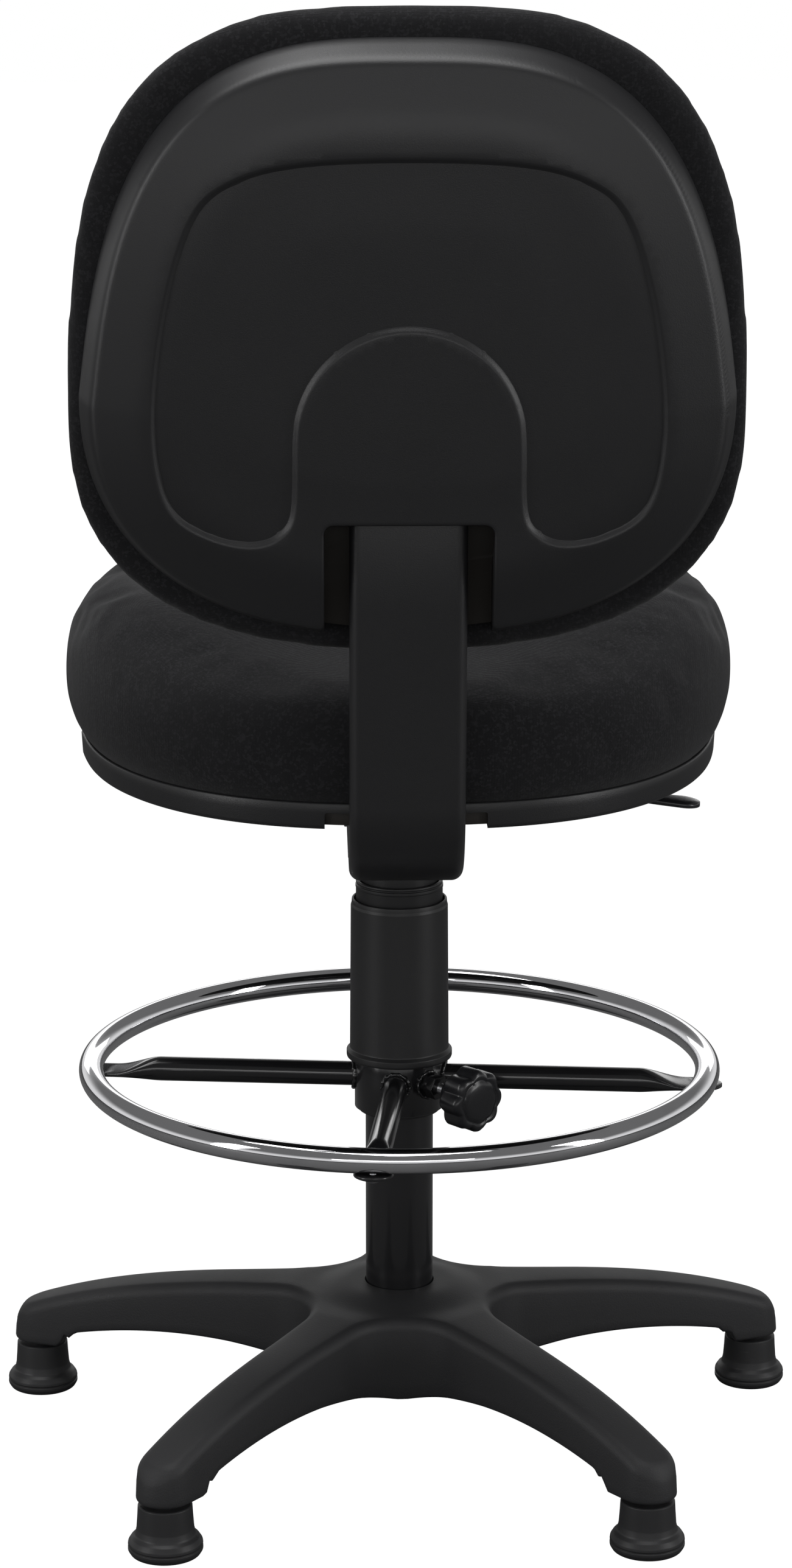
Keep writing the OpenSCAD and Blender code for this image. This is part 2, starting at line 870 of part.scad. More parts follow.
module back_board() {
  color([0.7, 0.55, 0.38])
    difference() {
      across_back(board_front, board_back) shell_plan(7);
      at_back() {
        for (p = clip_spots) translate([p[0], 0, p[1]]) rotate([90, 0, 0]) cylinder(r = 3, h = 40);
        for (p = bracket_screws)
          translate([p[0], 0, p[1]]) rotate([90, 0, 0]) cylinder(r = 2.5, h = 40);
      }
    }
}

module cushion_plan(inset) {
  translate([0, 257])
    polygon(soft_outline(back_half_w - inset, 273 - inset, 159 - inset, 3.14, 2.5, 0.023, 0));
}

module back_cushion() {
  color([0.03, 0.03, 0.035])
    hull() {
      across_back(board_front - 2.2, board_front - 0.2) cushion_plan(10);
      across_back(board_front - 26, board_front - 16) cushion_plan(0);
      across_back(board_front - 46, board_front - 45) cushion_plan(22);
      across_back(board_front - back_t, board_front - back_t + 1) cushion_plan(70);
    }
}

base_star();
glide(0);  // glide_1
glide(1);  // glide_2
glide(2);  // glide_3
glide(3);  // glide_4
glide(4);  // glide_5
glide_stems();
column_tube();
column_plate();
guide_bush();
rod_washer();
lower_race();
piston_rod();
piston();
upper_race();
bearing_balls();
bump_stop();
rod_clip();
gas_cylinder();
rod_guide();
valve_body();
valve_pin();
upper_sleeve();
middle_sleeve();
lower_sleeve();
ring_bush();
ring_hub();
spoke(0);  // spoke_1
spoke(1);  // spoke_2
spoke(2);  // spoke_3
spoke(3);  // spoke_4
foot_ring();
ring_bolts();
clamp_nut();
clamp_pad();
clamp_screw();
clamp_knob();
taper_socket();
mechanism_housing();
lever_bushes();
lever_pins();
recline_pin();
recline_spring();
height_lever();
height_paddle();
lock_lever();
lock_paddle();
seat_board();
seat_pan();
seat_bolts();
seat_cushion();
back_bar();
bar_cover();
back_bracket();
bracket_guide();
bracket_bolts();
back_board();
back_shell();
shell_clips();
back_cushion();
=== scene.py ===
import json
import math

import bmesh
import bpy
import numpy as np
from mathutils import Matrix, Vector, geometry


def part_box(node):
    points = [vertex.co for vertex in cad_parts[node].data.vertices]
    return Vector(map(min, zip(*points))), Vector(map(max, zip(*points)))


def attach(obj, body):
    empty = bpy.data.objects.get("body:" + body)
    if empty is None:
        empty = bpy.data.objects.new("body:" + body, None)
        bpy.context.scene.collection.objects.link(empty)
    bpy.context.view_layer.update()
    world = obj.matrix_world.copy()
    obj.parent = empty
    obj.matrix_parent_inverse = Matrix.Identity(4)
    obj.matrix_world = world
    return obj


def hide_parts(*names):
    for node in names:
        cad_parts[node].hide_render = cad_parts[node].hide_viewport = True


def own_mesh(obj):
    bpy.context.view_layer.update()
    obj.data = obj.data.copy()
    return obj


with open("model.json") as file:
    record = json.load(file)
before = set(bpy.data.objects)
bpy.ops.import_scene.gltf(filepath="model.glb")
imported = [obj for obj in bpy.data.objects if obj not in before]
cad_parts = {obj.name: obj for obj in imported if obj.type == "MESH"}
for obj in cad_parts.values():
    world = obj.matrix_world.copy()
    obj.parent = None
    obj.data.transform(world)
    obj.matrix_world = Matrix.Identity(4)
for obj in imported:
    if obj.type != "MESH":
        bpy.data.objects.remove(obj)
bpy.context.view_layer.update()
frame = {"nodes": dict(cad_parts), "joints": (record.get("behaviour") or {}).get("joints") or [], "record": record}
nodes = frame["nodes"]
record = frame["record"]
rad = math.radians
slotColour = {m["slot"]: m["base_color"] for m in record["materials"]}
print("frame loaded", len(nodes), "nodes")


# lines and outlines, in metres

def corners(points, radius, steps=6, closed=True):
    # rounds the corners of a flat line; a third number is that corner's own radius
    out = []
    count = len(points)
    for i, p in enumerate(points):
        r = p[2] if len(p) > 2 else radius
        here = np.array(p[:2], float)
        if (not closed and i in (0, count - 1)) or r <= 0:
            out.append(here)
            continue
        a = np.array(points[i - 1][:2], float) - here
        b = np.array(points[(i + 1) % count][:2], float) - here
        la, lb = np.linalg.norm(a), np.linalg.norm(b)
        a, b = a / la, b / lb
        half = math.acos(max(-1, min(1, float(a @ b)))) / 2
        if half > rad(87) or half < rad(2):
            out.append(here)
            continue
        cut = min(r / math.tan(half), 0.48 * la, 0.48 * lb)
        r = cut * math.tan(half)
        middle = (a + b) / np.linalg.norm(a + b)
        centre = here + middle * r / math.sin(half)
        start, end = here + a * cut - centre, here + b * cut - centre
        turn = math.atan2(start[0] * end[1] - start[1] * end[0], float(start @ end))
        for k in range(steps + 1):
            t = turn * k / steps
            out.append(centre + np.array([start[0] * math.cos(t) - start[1] * math.sin(t),
                                          start[0] * math.sin(t) + start[1] * math.cos(t)]))
    return np.array(out)


def evenly(points, step):
    # closed line with even spacing
    ring = np.vstack([points, points[:1]])
    gaps = np.linalg.norm(np.diff(ring, axis=0), axis=1)
    along = np.concatenate([[0], np.cumsum(gaps)])
    count = max(8, int(round(along[-1] / step)))
    at = np.linspace(0, along[-1], count, endpoint=False)
    return np.stack([np.interp(at, along, ring[:, k]) for k in range(2)], 1)


def curveThrough(points, steps=8):
    # smooth closed line through the points
    p = np.array(points, float)
    out = []
    for i in range(len(p)):
        a, b, c, d = p[i - 1], p[i], p[(i + 1) % len(p)], p[(i + 2) % len(p)]
        for k in range(steps):
            t = k / steps
            out.append(0.5 * (2 * b + (c - a) * t + (2 * a - 5 * b + 4 * c - d) * t ** 2
                              + (3 * b - a - 3 * c + d) * t ** 3))
    return np.array(out)


def softOutline(halfW, up, down, nUp, nDown, taperUp, taperDown, step=0.003):
    t = np.linspace(0, 2 * math.pi, 2000, endpoint=False)
    s, c = np.sin(t), np.cos(t)
    top = s > 0
    n = np.where(top, nUp, nDown)
    v = np.abs(s) ** (2 / n)
    w = np.abs(c) ** (2 / n) * (1 - np.where(top, taperUp, taperDown) * v)
    return evenly(np.stack([halfW * np.sign(c) * w, np.where(top, up, down) * np.sign(s) * v], 1), step)


def facing(loop):
    # unit vectors that point into a closed line
    d = np.roll(loop, -1, 0) - np.roll(loop, 1, 0)
    n = np.stack([-d[:, 1], d[:, 0]], 1) / np.linalg.norm(d, axis=1)[:, None]
    area = np.sum(loop[:, 0] * np.roll(loop[:, 1], -1) - loop[:, 1] * np.roll(loop[:, 0], -1))
    return n if area > 0 else -n


def inside(points, loop):
    x, y = points[:, 0], points[:, 1]
    odd = np.zeros(len(points), bool)
    for (x0, y0), (x1, y1) in zip(loop, np.roll(loop, -1, 0)):
        if y0 != y1:
            odd ^= ((y0 > y) != (y1 > y)) & (x < (x1 - x0) * (y - y0) / (y1 - y0) + x0)
    return odd


def reach(points, loop):
    # distance from each point to a closed line
    best = np.full(len(points), 1e9)
    for a, b in zip(loop, np.roll(loop, -1, 0)):
        d = b - a
        t = np.clip(((points - a) @ d) / max(d @ d, 1e-18), 0, 1)
        best = np.minimum(best, ((points - a - t[:, None] * d) ** 2).sum(1))
    return np.sqrt(best)


def depthIn(points, loop):
    # distance to a closed line, positive inside it
    return np.where(inside(points, loop), 1, -1) * reach(points, loop)


def ease(x, low, high):
    t = np.clip((x - low) / (high - low), 0, 1)
    return t * t * (3 - 2 * t)


# meshes

def addMesh(name, verts, faces, sharp=42):
    mesh = bpy.data.meshes.new(name)
    mesh.from_pydata([tuple(map(float, v)) for v in verts], [], [tuple(map(int, f)) for f in faces])
    bm = bmesh.new()
    bm.from_mesh(mesh)
    bmesh.ops.remove_doubles(bm, verts=bm.verts, dist=2e-6)
    bmesh.ops.recalc_face_normals(bm, faces=bm.faces)
    bm.to_mesh(mesh)
    bm.free()
    obj = bpy.data.objects.new(name, mesh)
    bpy.context.scene.collection.objects.link(obj)
    shade(obj, sharp)
    return obj


def shade(obj, sharp=42):
    obj.data.shade_smooth()
    obj.data.set_sharp_from_angle(angle=rad(sharp))


def gridFaces(rows, cols, wrapRows=False):
    faces = []
    for i in range(rows if wrapRows else rows - 1):
        a, b = i * cols, (i + 1) % rows * cols
        for j in range(cols):
            k = (j + 1) % cols
            faces.append((a + j, a + k, b + k, b + j))
    return faces


def turned(name, profile, segments=96, ring=True, sharp=42):
    # a profile of radius and height, turned about Z
    p = np.array(profile, float)
    a = np.linspace(0, 2 * math.pi, segments, endpoint=False)
    v = np.stack([np.outer(p[:, 0], np.cos(a)), np.outer(p[:, 0], np.sin(a)),
                  np.repeat(p[:, 1][:, None], segments, 1)], -1)
    return addMesh(name, v.reshape(-1, 3), gridFaces(len(p), segments, ring), sharp)


def lofted(name, rings, sharp=42, joined=False):
    # skin over closed rings of points, with an end face on the first and last
    rings = [np.array(r, float) for r in rings]
    cols = len(rings[0])
    verts = np.vstack(rings)
    faces = gridFaces(len(rings), cols, joined)
    if not joined:
        for first, ring in ((0, rings[0]), ((len(rings) - 1) * cols, rings[-1])):
            verts = np.vstack([verts, ring.mean(0)])
            faces += [(first + j, first + (j + 1) % cols, len(verts) - 1) for j in range(cols)]
    return addMesh(name, verts, faces, sharp)


def squircle(halfW, halfH, n, count=40):
    t = np.linspace(0, 2 * math.pi, count, endpoint=False)
    c, s = np.cos(t), np.sin(t)
    return np.stack([halfW * np.sign(c) * np.abs(c) ** (2 / n),
                     halfH * np.sign(s) * np.abs(s) ** (2 / n)], 1)


def flattened(name, stations, count=40, sharp=42):
    # bar along X; a station is its place, half width, half height, squareness and centre height
    rings = []
    for x, halfW, halfH, n, z in stations:
        s = squircle(halfW, halfH, n, count)
        rings.append(np.stack([np.full(count, x), s[:, 0], s[:, 1] + z], 1))
    return lofted(name, rings, sharp)


def filled(loop, spacing, extra=None):
    # even triangles inside a closed line; gives the points after the line's own, and the faces
    low, high = loop.min(0), loop.max(0)
    rows = []
    for i, y in enumerate(np.arange(low[1], high[1], spacing * 0.87)):
        xs = np.arange(low[0] + (i % 2) * spacing / 2, high[0], spacing)
        rows.append(np.column_stack([xs, np.full(len(xs), y)]))
    grid = np.vstack(rows)
    grid = grid[depthIn(grid, loop) > spacing * 0.55]
    if extra is not None:
        extra = extra[depthIn(extra, loop) > 0.0008]
        cell = {tuple(c) for c in np.round(extra / (spacing * 0.8)).astype(int)}
        free = [tuple(c) not in cell for c in np.round(grid / (spacing * 0.8)).astype(int)]
        grid = np.vstack([grid[free], extra])
    points = [Vector(p) for p in np.vstack([loop, grid])]
    count = len(loop)
    edges = [(i, (i + 1) % count) for i in range(count)]
    out = geometry.delaunay_2d_cdt(points, edges, [], 1, 1e-7)
    return np.array([tuple(v) for v in out[0]]), out[2]


def slab(name, loop, rows, top, bottom, topStep, bottomStep, extra=None, place=None, sharp=42):
    # closed form between two faces: rows are (inset, height) from the bottom face's edge to the top's
    inward = facing(loop)
    rings = []
    for inset, height in rows:
        flat = loop + inward * inset
        rings.append(np.column_stack([flat, height(flat)]))
    verts = [np.vstack(rings)]
    faces = gridFaces(len(rings), len(loop))
    base = len(verts[0])
    for ring, face, step, more in ((rings[0], bottom, bottomStep, None), (rings[-1], top, topStep, extra)):
        flat, tris = filled(ring[:, :2], step, more)
        z = face(flat)
        z[:len(ring)] = ring[:, 2]
        verts.append(np.column_stack([flat, z]))
        faces += [tuple(base + k for k in t) for t in tris]
        base += len(flat)
    verts = np.vstack(verts)
    if place is not None:
        verts = place(verts)
    return addMesh(name, verts, faces, sharp)


def edgeRows(radius, top, steps, start=0.0):
    # rows that round the edge between a wall and a top face
    rows = []
    for k in range(steps + 1):
        a = math.pi / 2 * k / steps
        rows.append((start + radius * (1 - math.cos(a)),
                     lambda p, a=a: top(p) - radius * (1 - math.sin(a))))
    return rows


def carve(obj, cutter):
    m = obj.modifiers.new("cut", "BOOLEAN")
    m.operation, m.solver, m.object = "DIFFERENCE", "EXACT", cutter
    settle(obj)
    bpy.data.objects.remove(cutter)


def settle(obj):
    # modifiers become the mesh
    dg = bpy.context.evaluated_depsgraph_get()
    mesh = bpy.data.meshes.new_from_object(obj.evaluated_get(dg))
    obj.modifiers.clear()
    old, obj.data = obj.data, mesh
    mesh.name = old.name
    bpy.data.meshes.remove(old)


def cutter(bm):
    # the solid that one cut takes away
    mesh = bpy.data.meshes.new("cutter")
    bm.to_mesh(mesh)
    bm.free()
    obj = bpy.data.objects.new("cutter", mesh)
    bpy.context.scene.collection.objects.link(obj)
    return obj


def cutBox(low, high, radius=0.0):
    bm = bmesh.new()
    bmesh.ops.create_cube(bm, size=1)
    for v in bm.verts:
        v.co = Vector([low[i] if v.co[i] < 0 else high[i] for i in range(3)])
    if radius:
        bmesh.ops.bevel(bm, geom=list(bm.edges), offset=radius, segments=3, affect="EDGES", profile=0.5)
    return cutter(bm)


def softened(node, width, name, segments=2, angle=35):
    # the CAD node with its sharp edges broken
    obj = bpy.data.objects.new(name, nodes[node].data.copy())
    bpy.context.scene.collection.objects.link(obj)
    bm = bmesh.new()
    bm.from_mesh(obj.data)
    bmesh.ops.remove_doubles(bm, verts=bm.verts, dist=2e-6)
    bmesh.ops.dissolve_limit(bm, angle_limit=rad(1.5), verts=bm.verts, edges=bm.edges)
    bm.to_mesh(obj.data)
    bm.free()
    m = obj.modifiers.new("edge", "BEVEL")
    m.width, m.segments, m.limit_method, m.angle_limit = width, segments, "ANGLE", rad(angle)
    settle(obj)
    shade(obj, 38)
    return obj


def finishPiece(obj, body, material, slot, *stands):
    obj.data.materials.clear()
    obj.data.materials.append(material)
    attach(obj, body)
    if stands:
        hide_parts(*stands)
    return obj


# shader groups and materials

def makeGroup(name, inputs, outputs):
    tree = bpy.data.node_groups.new(name, "ShaderNodeTree")
    for label, kind, value in inputs:
        s = tree.interface.new_socket(name=label, in_out="INPUT", socket_type=kind)
        s.default_value = value
    for label, kind in outputs:
        tree.interface.new_socket(name=label, in_out="OUTPUT", socket_type=kind)
    return tree, tree.nodes.new("NodeGroupInput"), tree.nodes.new("NodeGroupOutput")


def put(tree, kind, settings=None, **links):
    # a node with its inputs linked or set, and its own settings
    node = tree.nodes.new(kind)
    for key, value in (settings or {}).items():
        setattr(node, key, value)
    for key, value in links.items():
        numbered = key[0] == "i" and key[1:].isdigit()
        socket = node.inputs[int(key[1:]) if numbered else key.replace("_", " ")]
        if isinstance(value, bpy.types.NodeSocket):
            tree.links.new(value, socket)
        else:
            socket.default_value = value
    return node


def shareOf(tree, fac, low, high):
    # a mask between two levels
    return put(tree, "ShaderNodeMapRange", {"interpolation_type": "SMOOTHSTEP"},
               Value=fac, From_Min=low, From_Max=high).outputs[0]


def calc(tree, kind, *values):
    # one step of arithmetic
    links = {f"i{k}": value for k, value in enumerate(values)}
    return put(tree, "ShaderNodeMath", {"operation": kind}, **links).outputs[0]


def noise(tree, at, scale, detail, roughness=0.5):
    return put(tree, "ShaderNodeTexNoise", Vector=at, Scale=scale, Detail=detail,
               Roughness=roughness).outputs[0]


def mixed(tree, kind, share, a, b):
    return put(tree, "ShaderNodeMix", {"data_type": "RGBA", "blend_type": kind},
               i0=share, i6=a, i7=b).outputs[2]


def outlets(tree, o, colour, roughness, height, relief, depth):
    # joins the three outputs that each of these groups has
    bump = put(tree, "ShaderNodeBump", Strength=relief, Distance=depth, Height=height)
    for label, socket in (("Color", colour), ("Roughness", roughness), ("Normal", bump.outputs[0])):
        tree.links.new(socket, o.inputs[label])
    return tree


colourIn, numberIn, vectorOut = "NodeSocketColor", "NodeSocketFloat", "NodeSocketVector"
lookOut = [("Color", colourIn), ("Roughness", numberIn), ("Normal", vectorOut)]


def mouldedGroup():
    # moulded plastic: fine grain, cloudy gloss and faint handling marks
    tree, i, o = makeGroup("mouldedGrain", [
        ("Color", colourIn, (0.02, 0.02, 0.02, 1)), ("Marks", numberIn, 0.3), ("Roughness", numberIn, 0.45),
        ("Grain Scale", numberIn, 1400.0), ("Grain", numberIn, 0.2), ("Cloud", numberIn, 0.06)], lookOut)
    at = tree.nodes.new("ShaderNodeTexCoord").outputs["Object"]
    grain = noise(tree, at, i.outputs["Grain Scale"], 3.0)
    cloud = noise(tree, at, 16.0, 4.0, 0.6)
    streaks = put(tree, "ShaderNodeMapping", Vector=at, Scale=(60.0, 60.0, 420.0)).outputs[0]
    marks = noise(tree, streaks, 1.0, 5.0, 0.7)
    worn = calc(tree, "MULTIPLY", shareOf(tree, marks, 0.6, 0.78), shareOf(tree, cloud, 0.48, 0.66))
    worn = calc(tree, "MULTIPLY", worn, i.outputs["Marks"])
    pale = mixed(tree, "ADD", worn, i.outputs["Color"], (0.035, 0.036, 0.038, 1))
    shift = calc(tree, "MULTIPLY_ADD", cloud, i.outputs["Cloud"], i.outputs["Roughness"])
    rough = calc(tree, "ADD", shift, calc(tree, "MULTIPLY", worn, 0.12))
    return outlets(tree, o, pale, rough, grain, i.outputs["Grain"], 0.0003)


def clothGroup():
    # plain woven cloth: two crossing threads, slubs and pale flecks
    tree, i, o = makeGroup("clothWeave", [
        ("Color", colourIn, (0.012, 0.012, 0.014, 1)), ("Fleck", colourIn, (0.06, 0.06, 0.065, 1)),
        ("Thread Scale", numberIn, 900.0), ("Relief", numberIn, 0.5), ("Roughness", numberIn, 0.9)], lookOut)
    at = tree.nodes.new("ShaderNodeTexCoord").outputs["Object"]
    wobble = put(tree, "ShaderNodeTexNoise", Vector=at, Scale=240.0, Detail=2.0).outputs[1]
    at = put(tree, "ShaderNodeVectorMath", {"operation": "MULTIPLY_ADD"},
             i0=wobble, i1=(0.0006, 0.0006, 0.0006), i2=at).outputs[0]
    turns = calc(tree, "MULTIPLY", i.outputs["Thread Scale"], 6.2832)
    threads = []
    for line in ((1.0, 0.32, 1.0), (-1.0, 0.36, 1.0)):
        along = put(tree, "ShaderNodeVectorMath", {"operation": "DOT_PRODUCT"}, i0=at, i1=line)
        threads.append(calc(tree, "SINE", calc(tree, "MULTIPLY", along.outputs["Value"], turns)))
    slub = noise(tree, at, 700.0, 3.0, 0.65)
    height = calc(tree, "MULTIPLY_ADD", calc(tree, "MULTIPLY", *threads), 0.35, slub)
    dots = put(tree, "ShaderNodeTexVoronoi", Vector=at, Scale=620.0).outputs["Color"]
    pick = put(tree, "ShaderNodeSeparateColor", Color=dots).outputs[0]
    patches = calc(tree, "MULTIPLY_ADD", noise(tree, at, 9.0, 3.0), 0.5, 0.15)
    amount = calc(tree, "MULTIPLY", shareOf(tree, pick, 0.55, 1.0), patches)
    colour = mixed(tree, "MIX", amount, i.outputs["Color"], i.outputs["Fleck"])
    rough = calc(tree, "MULTIPLY_ADD", slub, 0.1, i.outputs["Roughness"])
    return outlets(tree, o, colour, rough, height, i.outputs["Relief"], 0.0004)


def metalGroup():
    # coated or plated metal: orange peel, smudges and fine scratches
    tree, i, o = makeGroup("metalSkin", [
        ("Color", colourIn, (0.02, 0.02, 0.02, 1)), ("Roughness", numberIn, 0.2), ("Smudge", numberIn, 0.15),
        ("Peel Scale", numberIn, 300.0), ("Peel", numberIn, 0.05)], lookOut)
    at = tree.nodes.new("ShaderNodeTexCoord").outputs["Object"]
    peel = noise(tree, at, i.outputs["Peel Scale"], 2.0)
    smear = noise(tree, at, 22.0, 6.0, 0.7)
    thin = put(tree, "ShaderNodeMapping", Vector=at, Rotation=(0.4, 0.7, 0.2),
               Scale=(1500.0, 1500.0, 40.0)).outputs[0]
    scratches = shareOf(tree, noise(tree, thin, 1.0, 2.0), 0.66, 0.8)
    marks = calc(tree, "MULTIPLY_ADD", scratches, 0.35, shareOf(tree, smear, 0.45, 0.75))
    rough = calc(tree, "MULTIPLY_ADD", marks, i.outputs["Smudge"], i.outputs["Roughness"])
    worn = calc(tree, "MULTIPLY", marks, 0.25)
    dull = mixed(tree, "MULTIPLY", worn, i.outputs["Color"], (0.6, 0.6, 0.62, 1))
    return outlets(tree, o, dull, rough, peel, i.outputs["Peel"], 0.0004)


def material(name, group, values, fixed):
    mat = bpy.data.materials.new(name)
    mat.use_nodes = True
    tree = mat.node_tree
    shader = tree.nodes["Principled BSDF"]
    look = tree.nodes.new("ShaderNodeGroup")
    look.node_tree = group
    for key, value in values.items():
        look.inputs[key].default_value = value
    tree.links.new(look.outputs["Color"], shader.inputs["Base Color"])
    tree.links.new(look.outputs["Roughness"], shader.inputs["Roughness"])
    tree.links.new(look.outputs["Normal"], shader.inputs["Normal"])
    for key, value in fixed.items():
        shader.inputs[key].default_value = value
    return mat


def plastic(marks, roughness, grainScale, grain, cloud=0.06):
    return {"Marks": marks, "Roughness": roughness, "Grain Scale": grainScale, "Grain": grain, "Cloud": cloud}


def plated(roughness, smudge, peelScale, peel):
    return {"Roughness": roughness, "Smudge": smudge, "Peel Scale": peelScale, "Peel": peel}


moulded, cloth, metal = mouldedGroup(), clothGroup(), metalGroup()
weave = {"Fleck": (0.03, 0.03, 0.033, 1), "Thread Scale": 720.0, "Relief": 0.6, "Roughness": 0.85}
# each finish: group, share of the recorded colour, values of the group and values of the shader
finishes = {
    "base_nylon": (moulded, 0.75, plastic(0.8, 0.52, 900.0, 0.55, 0.12), {"Specular IOR Level": 0.45}),
    "glide_nylon": (moulded, 0.55, plastic(0.9, 0.4, 1600.0, 0.2, 0.12), {"Specular IOR Level": 0.5}),
    "sleeve_plastic": (moulded, 0.7, plastic(0.3, 0.4, 1500.0, 0.25, 0.08), {"Specular IOR Level": 0.45}),
    "shell_plastic": (moulded, 0.55, plastic(0.25, 0.38, 1300.0, 0.3, 0.08), {"Specular IOR Level": 0.5}),
    "knob_plastic": (moulded, 1.0, plastic(0.3, 0.22, 700.0, 0.06, 0.1), {"Specular IOR Level": 0.5}),
    "acetal": (moulded, 1.0, plastic(0.2, 0.42, 900.0, 0.1), {}),
    "rubber": (moulded, 1.0, plastic(0.5, 0.72, 800.0, 0.4), {}),
    "black_paint": (metal, 1.0, plated(0.16, 0.1, 260.0, 0.08),
                    {"Specular IOR Level": 0.5, "Coat Weight": 0.35, "Coat Roughness": 0.12}),
    "chrome": (metal, 1.0, plated(0.04, 0.06, 120.0, 0.015), {"Metallic": 1.0}),
    "steel_plain": (metal, 1.0, plated(0.3, 0.2, 900.0, 0.12), {"Metallic": 1.0}),
    "brass": (metal, 1.0, plated(0.28, 0.2, 900.0, 0.1), {"Metallic": 1.0}),
    "plywood": (moulded, 0.5, plastic(0.6, 0.62, 300.0, 0.5), {}),
    "seat_fabric": (cloth, 0.6, weave,
                    {"Sheen Weight": 0.08, "Sheen Roughness": 0.45, "Specular IOR Level": 0.3}),
}
looks = {}
for slotName, (group, share, values, fixed) in finishes.items():
    colour = (*(c * share for c in slotColour[slotName]), 1)
    looks[slotName] = material(slotName + "_look", group, {"Color": colour, **values}, fixed)
slotOf = {s["node"]: s["material_slot"] for s in record["subparts"]}
for nodeName, obj in nodes.items():
    obj.data.materials.clear()
    obj.data.materials.append(looks[slotOf[nodeName]])
print("materials made")


def skin(obj, body, *stands):
    # finish of the first node that the piece stands for
    slotName = slotOf[stands[0]]
    return finishPiece(obj, body, looks[slotName], slotName, *stands)


# star base

base = {
    "legs": 5, "glideCircle": 0.288, "endHalf": 0.0205, "rootHalf": 0.025, "valley": 0.045, "sideFrom": 0.13,
    "edge": 0.0085, "draft": 0.0012, "footEdge": 0.0025, "wall": 0.004, "rib": 0.003, "crown": 0.0012,
    "bays": (0.100, 0.140, 0.180, 0.220), "bay": 0.037, "cutFrom": 0.03, "ribTurn": 0.07,
}
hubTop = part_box("base_star")[1].z
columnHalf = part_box("column_tube")[1].x
legStep = rad(360 / base["legs"])
legSlope = (base["endHalf"] - base["rootHalf"]) / base["glideCircle"]
valleyAt = (base["rootHalf"] + base["valley"]) / math.sin(math.pi / base["legs"])


def legAngle(k):
    return -math.pi / 2 + legStep * k


def legHalf(r):
    return base["rootHalf"] + legSlope * r


def legTop(r):
    r = np.asarray(r, float)
    out = np.maximum(0, r - 0.08)
    return hubTop - 0.006 - 0.091 * out - 2.1 * out ** 3


def basePlan():
    # each valley, then out along one side of the next leg, round its end and back
    line = []
    reachOut, end, valley = base["glideCircle"], base["endHalf"], base["valley"]
    sweep = math.pi / 2 - legStep / 2
    for k in range(base["legs"]):
        leg = legAngle(k)
        c, s = math.cos(leg), math.sin(leg)
        centre = leg - legStep / 2
        for t in np.linspace(-sweep, sweep, 15):
            a = centre + math.pi - t
            line.append((valleyAt * math.cos(centre) + valley * math.cos(a),
                         valleyAt * math.sin(centre) + valley * math.sin(a)))
        for r in np.linspace(base["sideFrom"], reachOut, 20):
            line.append((r * c + legHalf(r) * s, r * s - legHalf(r) * c))
        for t in np.linspace(-math.pi / 2, math.pi / 2, 16)[1:-1]:
            line.append((reachOut * c + end * math.cos(leg + t), reachOut * s + end * math.sin(leg + t)))
        for r in np.linspace(reachOut, base["sideFrom"], 20):
            line.append((r * c - legHalf(r) * s, r * s + legHalf(r) * c))
    return evenly(np.array(line), 0.0035)


def acrossLeg(p):
    # distance from the column, and sideways from the nearest leg's middle
    r = np.hypot(p[:, 0], p[:, 1])
    a = np.arctan2(p[:, 1], p[:, 0]) + math.pi / 2
    a = (a + legStep / 2) % legStep - legStep / 2
    return r, r * np.cos(a), r * np.sin(a)


def baseTop(p):
    r, out, side = acrossLeg(p)
    z = legTop(np.where(out > 0.06, out, r * 0.35 + out * 0.65))
    z = z - base["crown"] * np.clip(side / 0.022, -1, 1) ** 2 * ease(r, 0.06, 0.12)
    z = z + (hubTop - z) * ease(0.066 - r, 0.0, 0.030)
    return z - 0.0045 * ease(out, 0.299, 0.3085)


def baseUnder(p):
    # arched between the hub and the glide, with a step and a small groove at the socket of the glide
    r, out, side = acrossLeg(p)
    arch = 0.063 - 1.2 * (out - 0.165) ** 2
    z = np.where(out > 0.1, arch, np.maximum(arch, 0.05))
    z = z + (0.041 - z) * ease(out, 0.262, 0.2675)
    return z - 0.0035 * np.exp(-((out - 0.2585) / 0.0032) ** 2) * (out > 0.2)


def legBay(bm, turn, x, side):
    # hollow between two cross ribs, on one side of the rib along the leg
    ceiling = float(legTop(x + 0.04)) - base["wall"] - 0.001
    spots = []
    for px in (x, x + base["bay"]):
        for py in (base["rib"] / 2, legHalf(px) - base["wall"]):
            for pz in (base["cutFrom"], ceiling):
                spots.append(bm.verts.new(turn @ Vector((px, side * py, pz))))
    for f in ((0, 1, 3, 2), (4, 6, 7, 5), (0, 4, 5, 1), (2, 3, 7, 6), (0, 2, 6, 4), (1, 5, 7, 3)):
        bm.faces.new([spots[j] for j in f])


def hubBay(bm, start):
    # hollow of the hub between two ribs that run to the valleys
    section = ((0.035, base["cutFrom"]), (0.058, base["cutFrom"]), (0.058, 0.100), (0.035, 0.104))
    rings = []
    for t in np.linspace(base["ribTurn"], legStep - base["ribTurn"], 9):
        c, s = math.cos(start + t), math.sin(start + t)
        rings.append([bm.verts.new((r * c, r * s, z)) for r, z in section])
    for a, b in zip(rings, rings[1:]):
        for j in range(4):
            bm.faces.new([a[j], a[(j + 1) % 4], b[(j + 1) % 4], b[j]])
    bm.faces.new(rings[0][::-1])
    bm.faces.new(rings[-1])


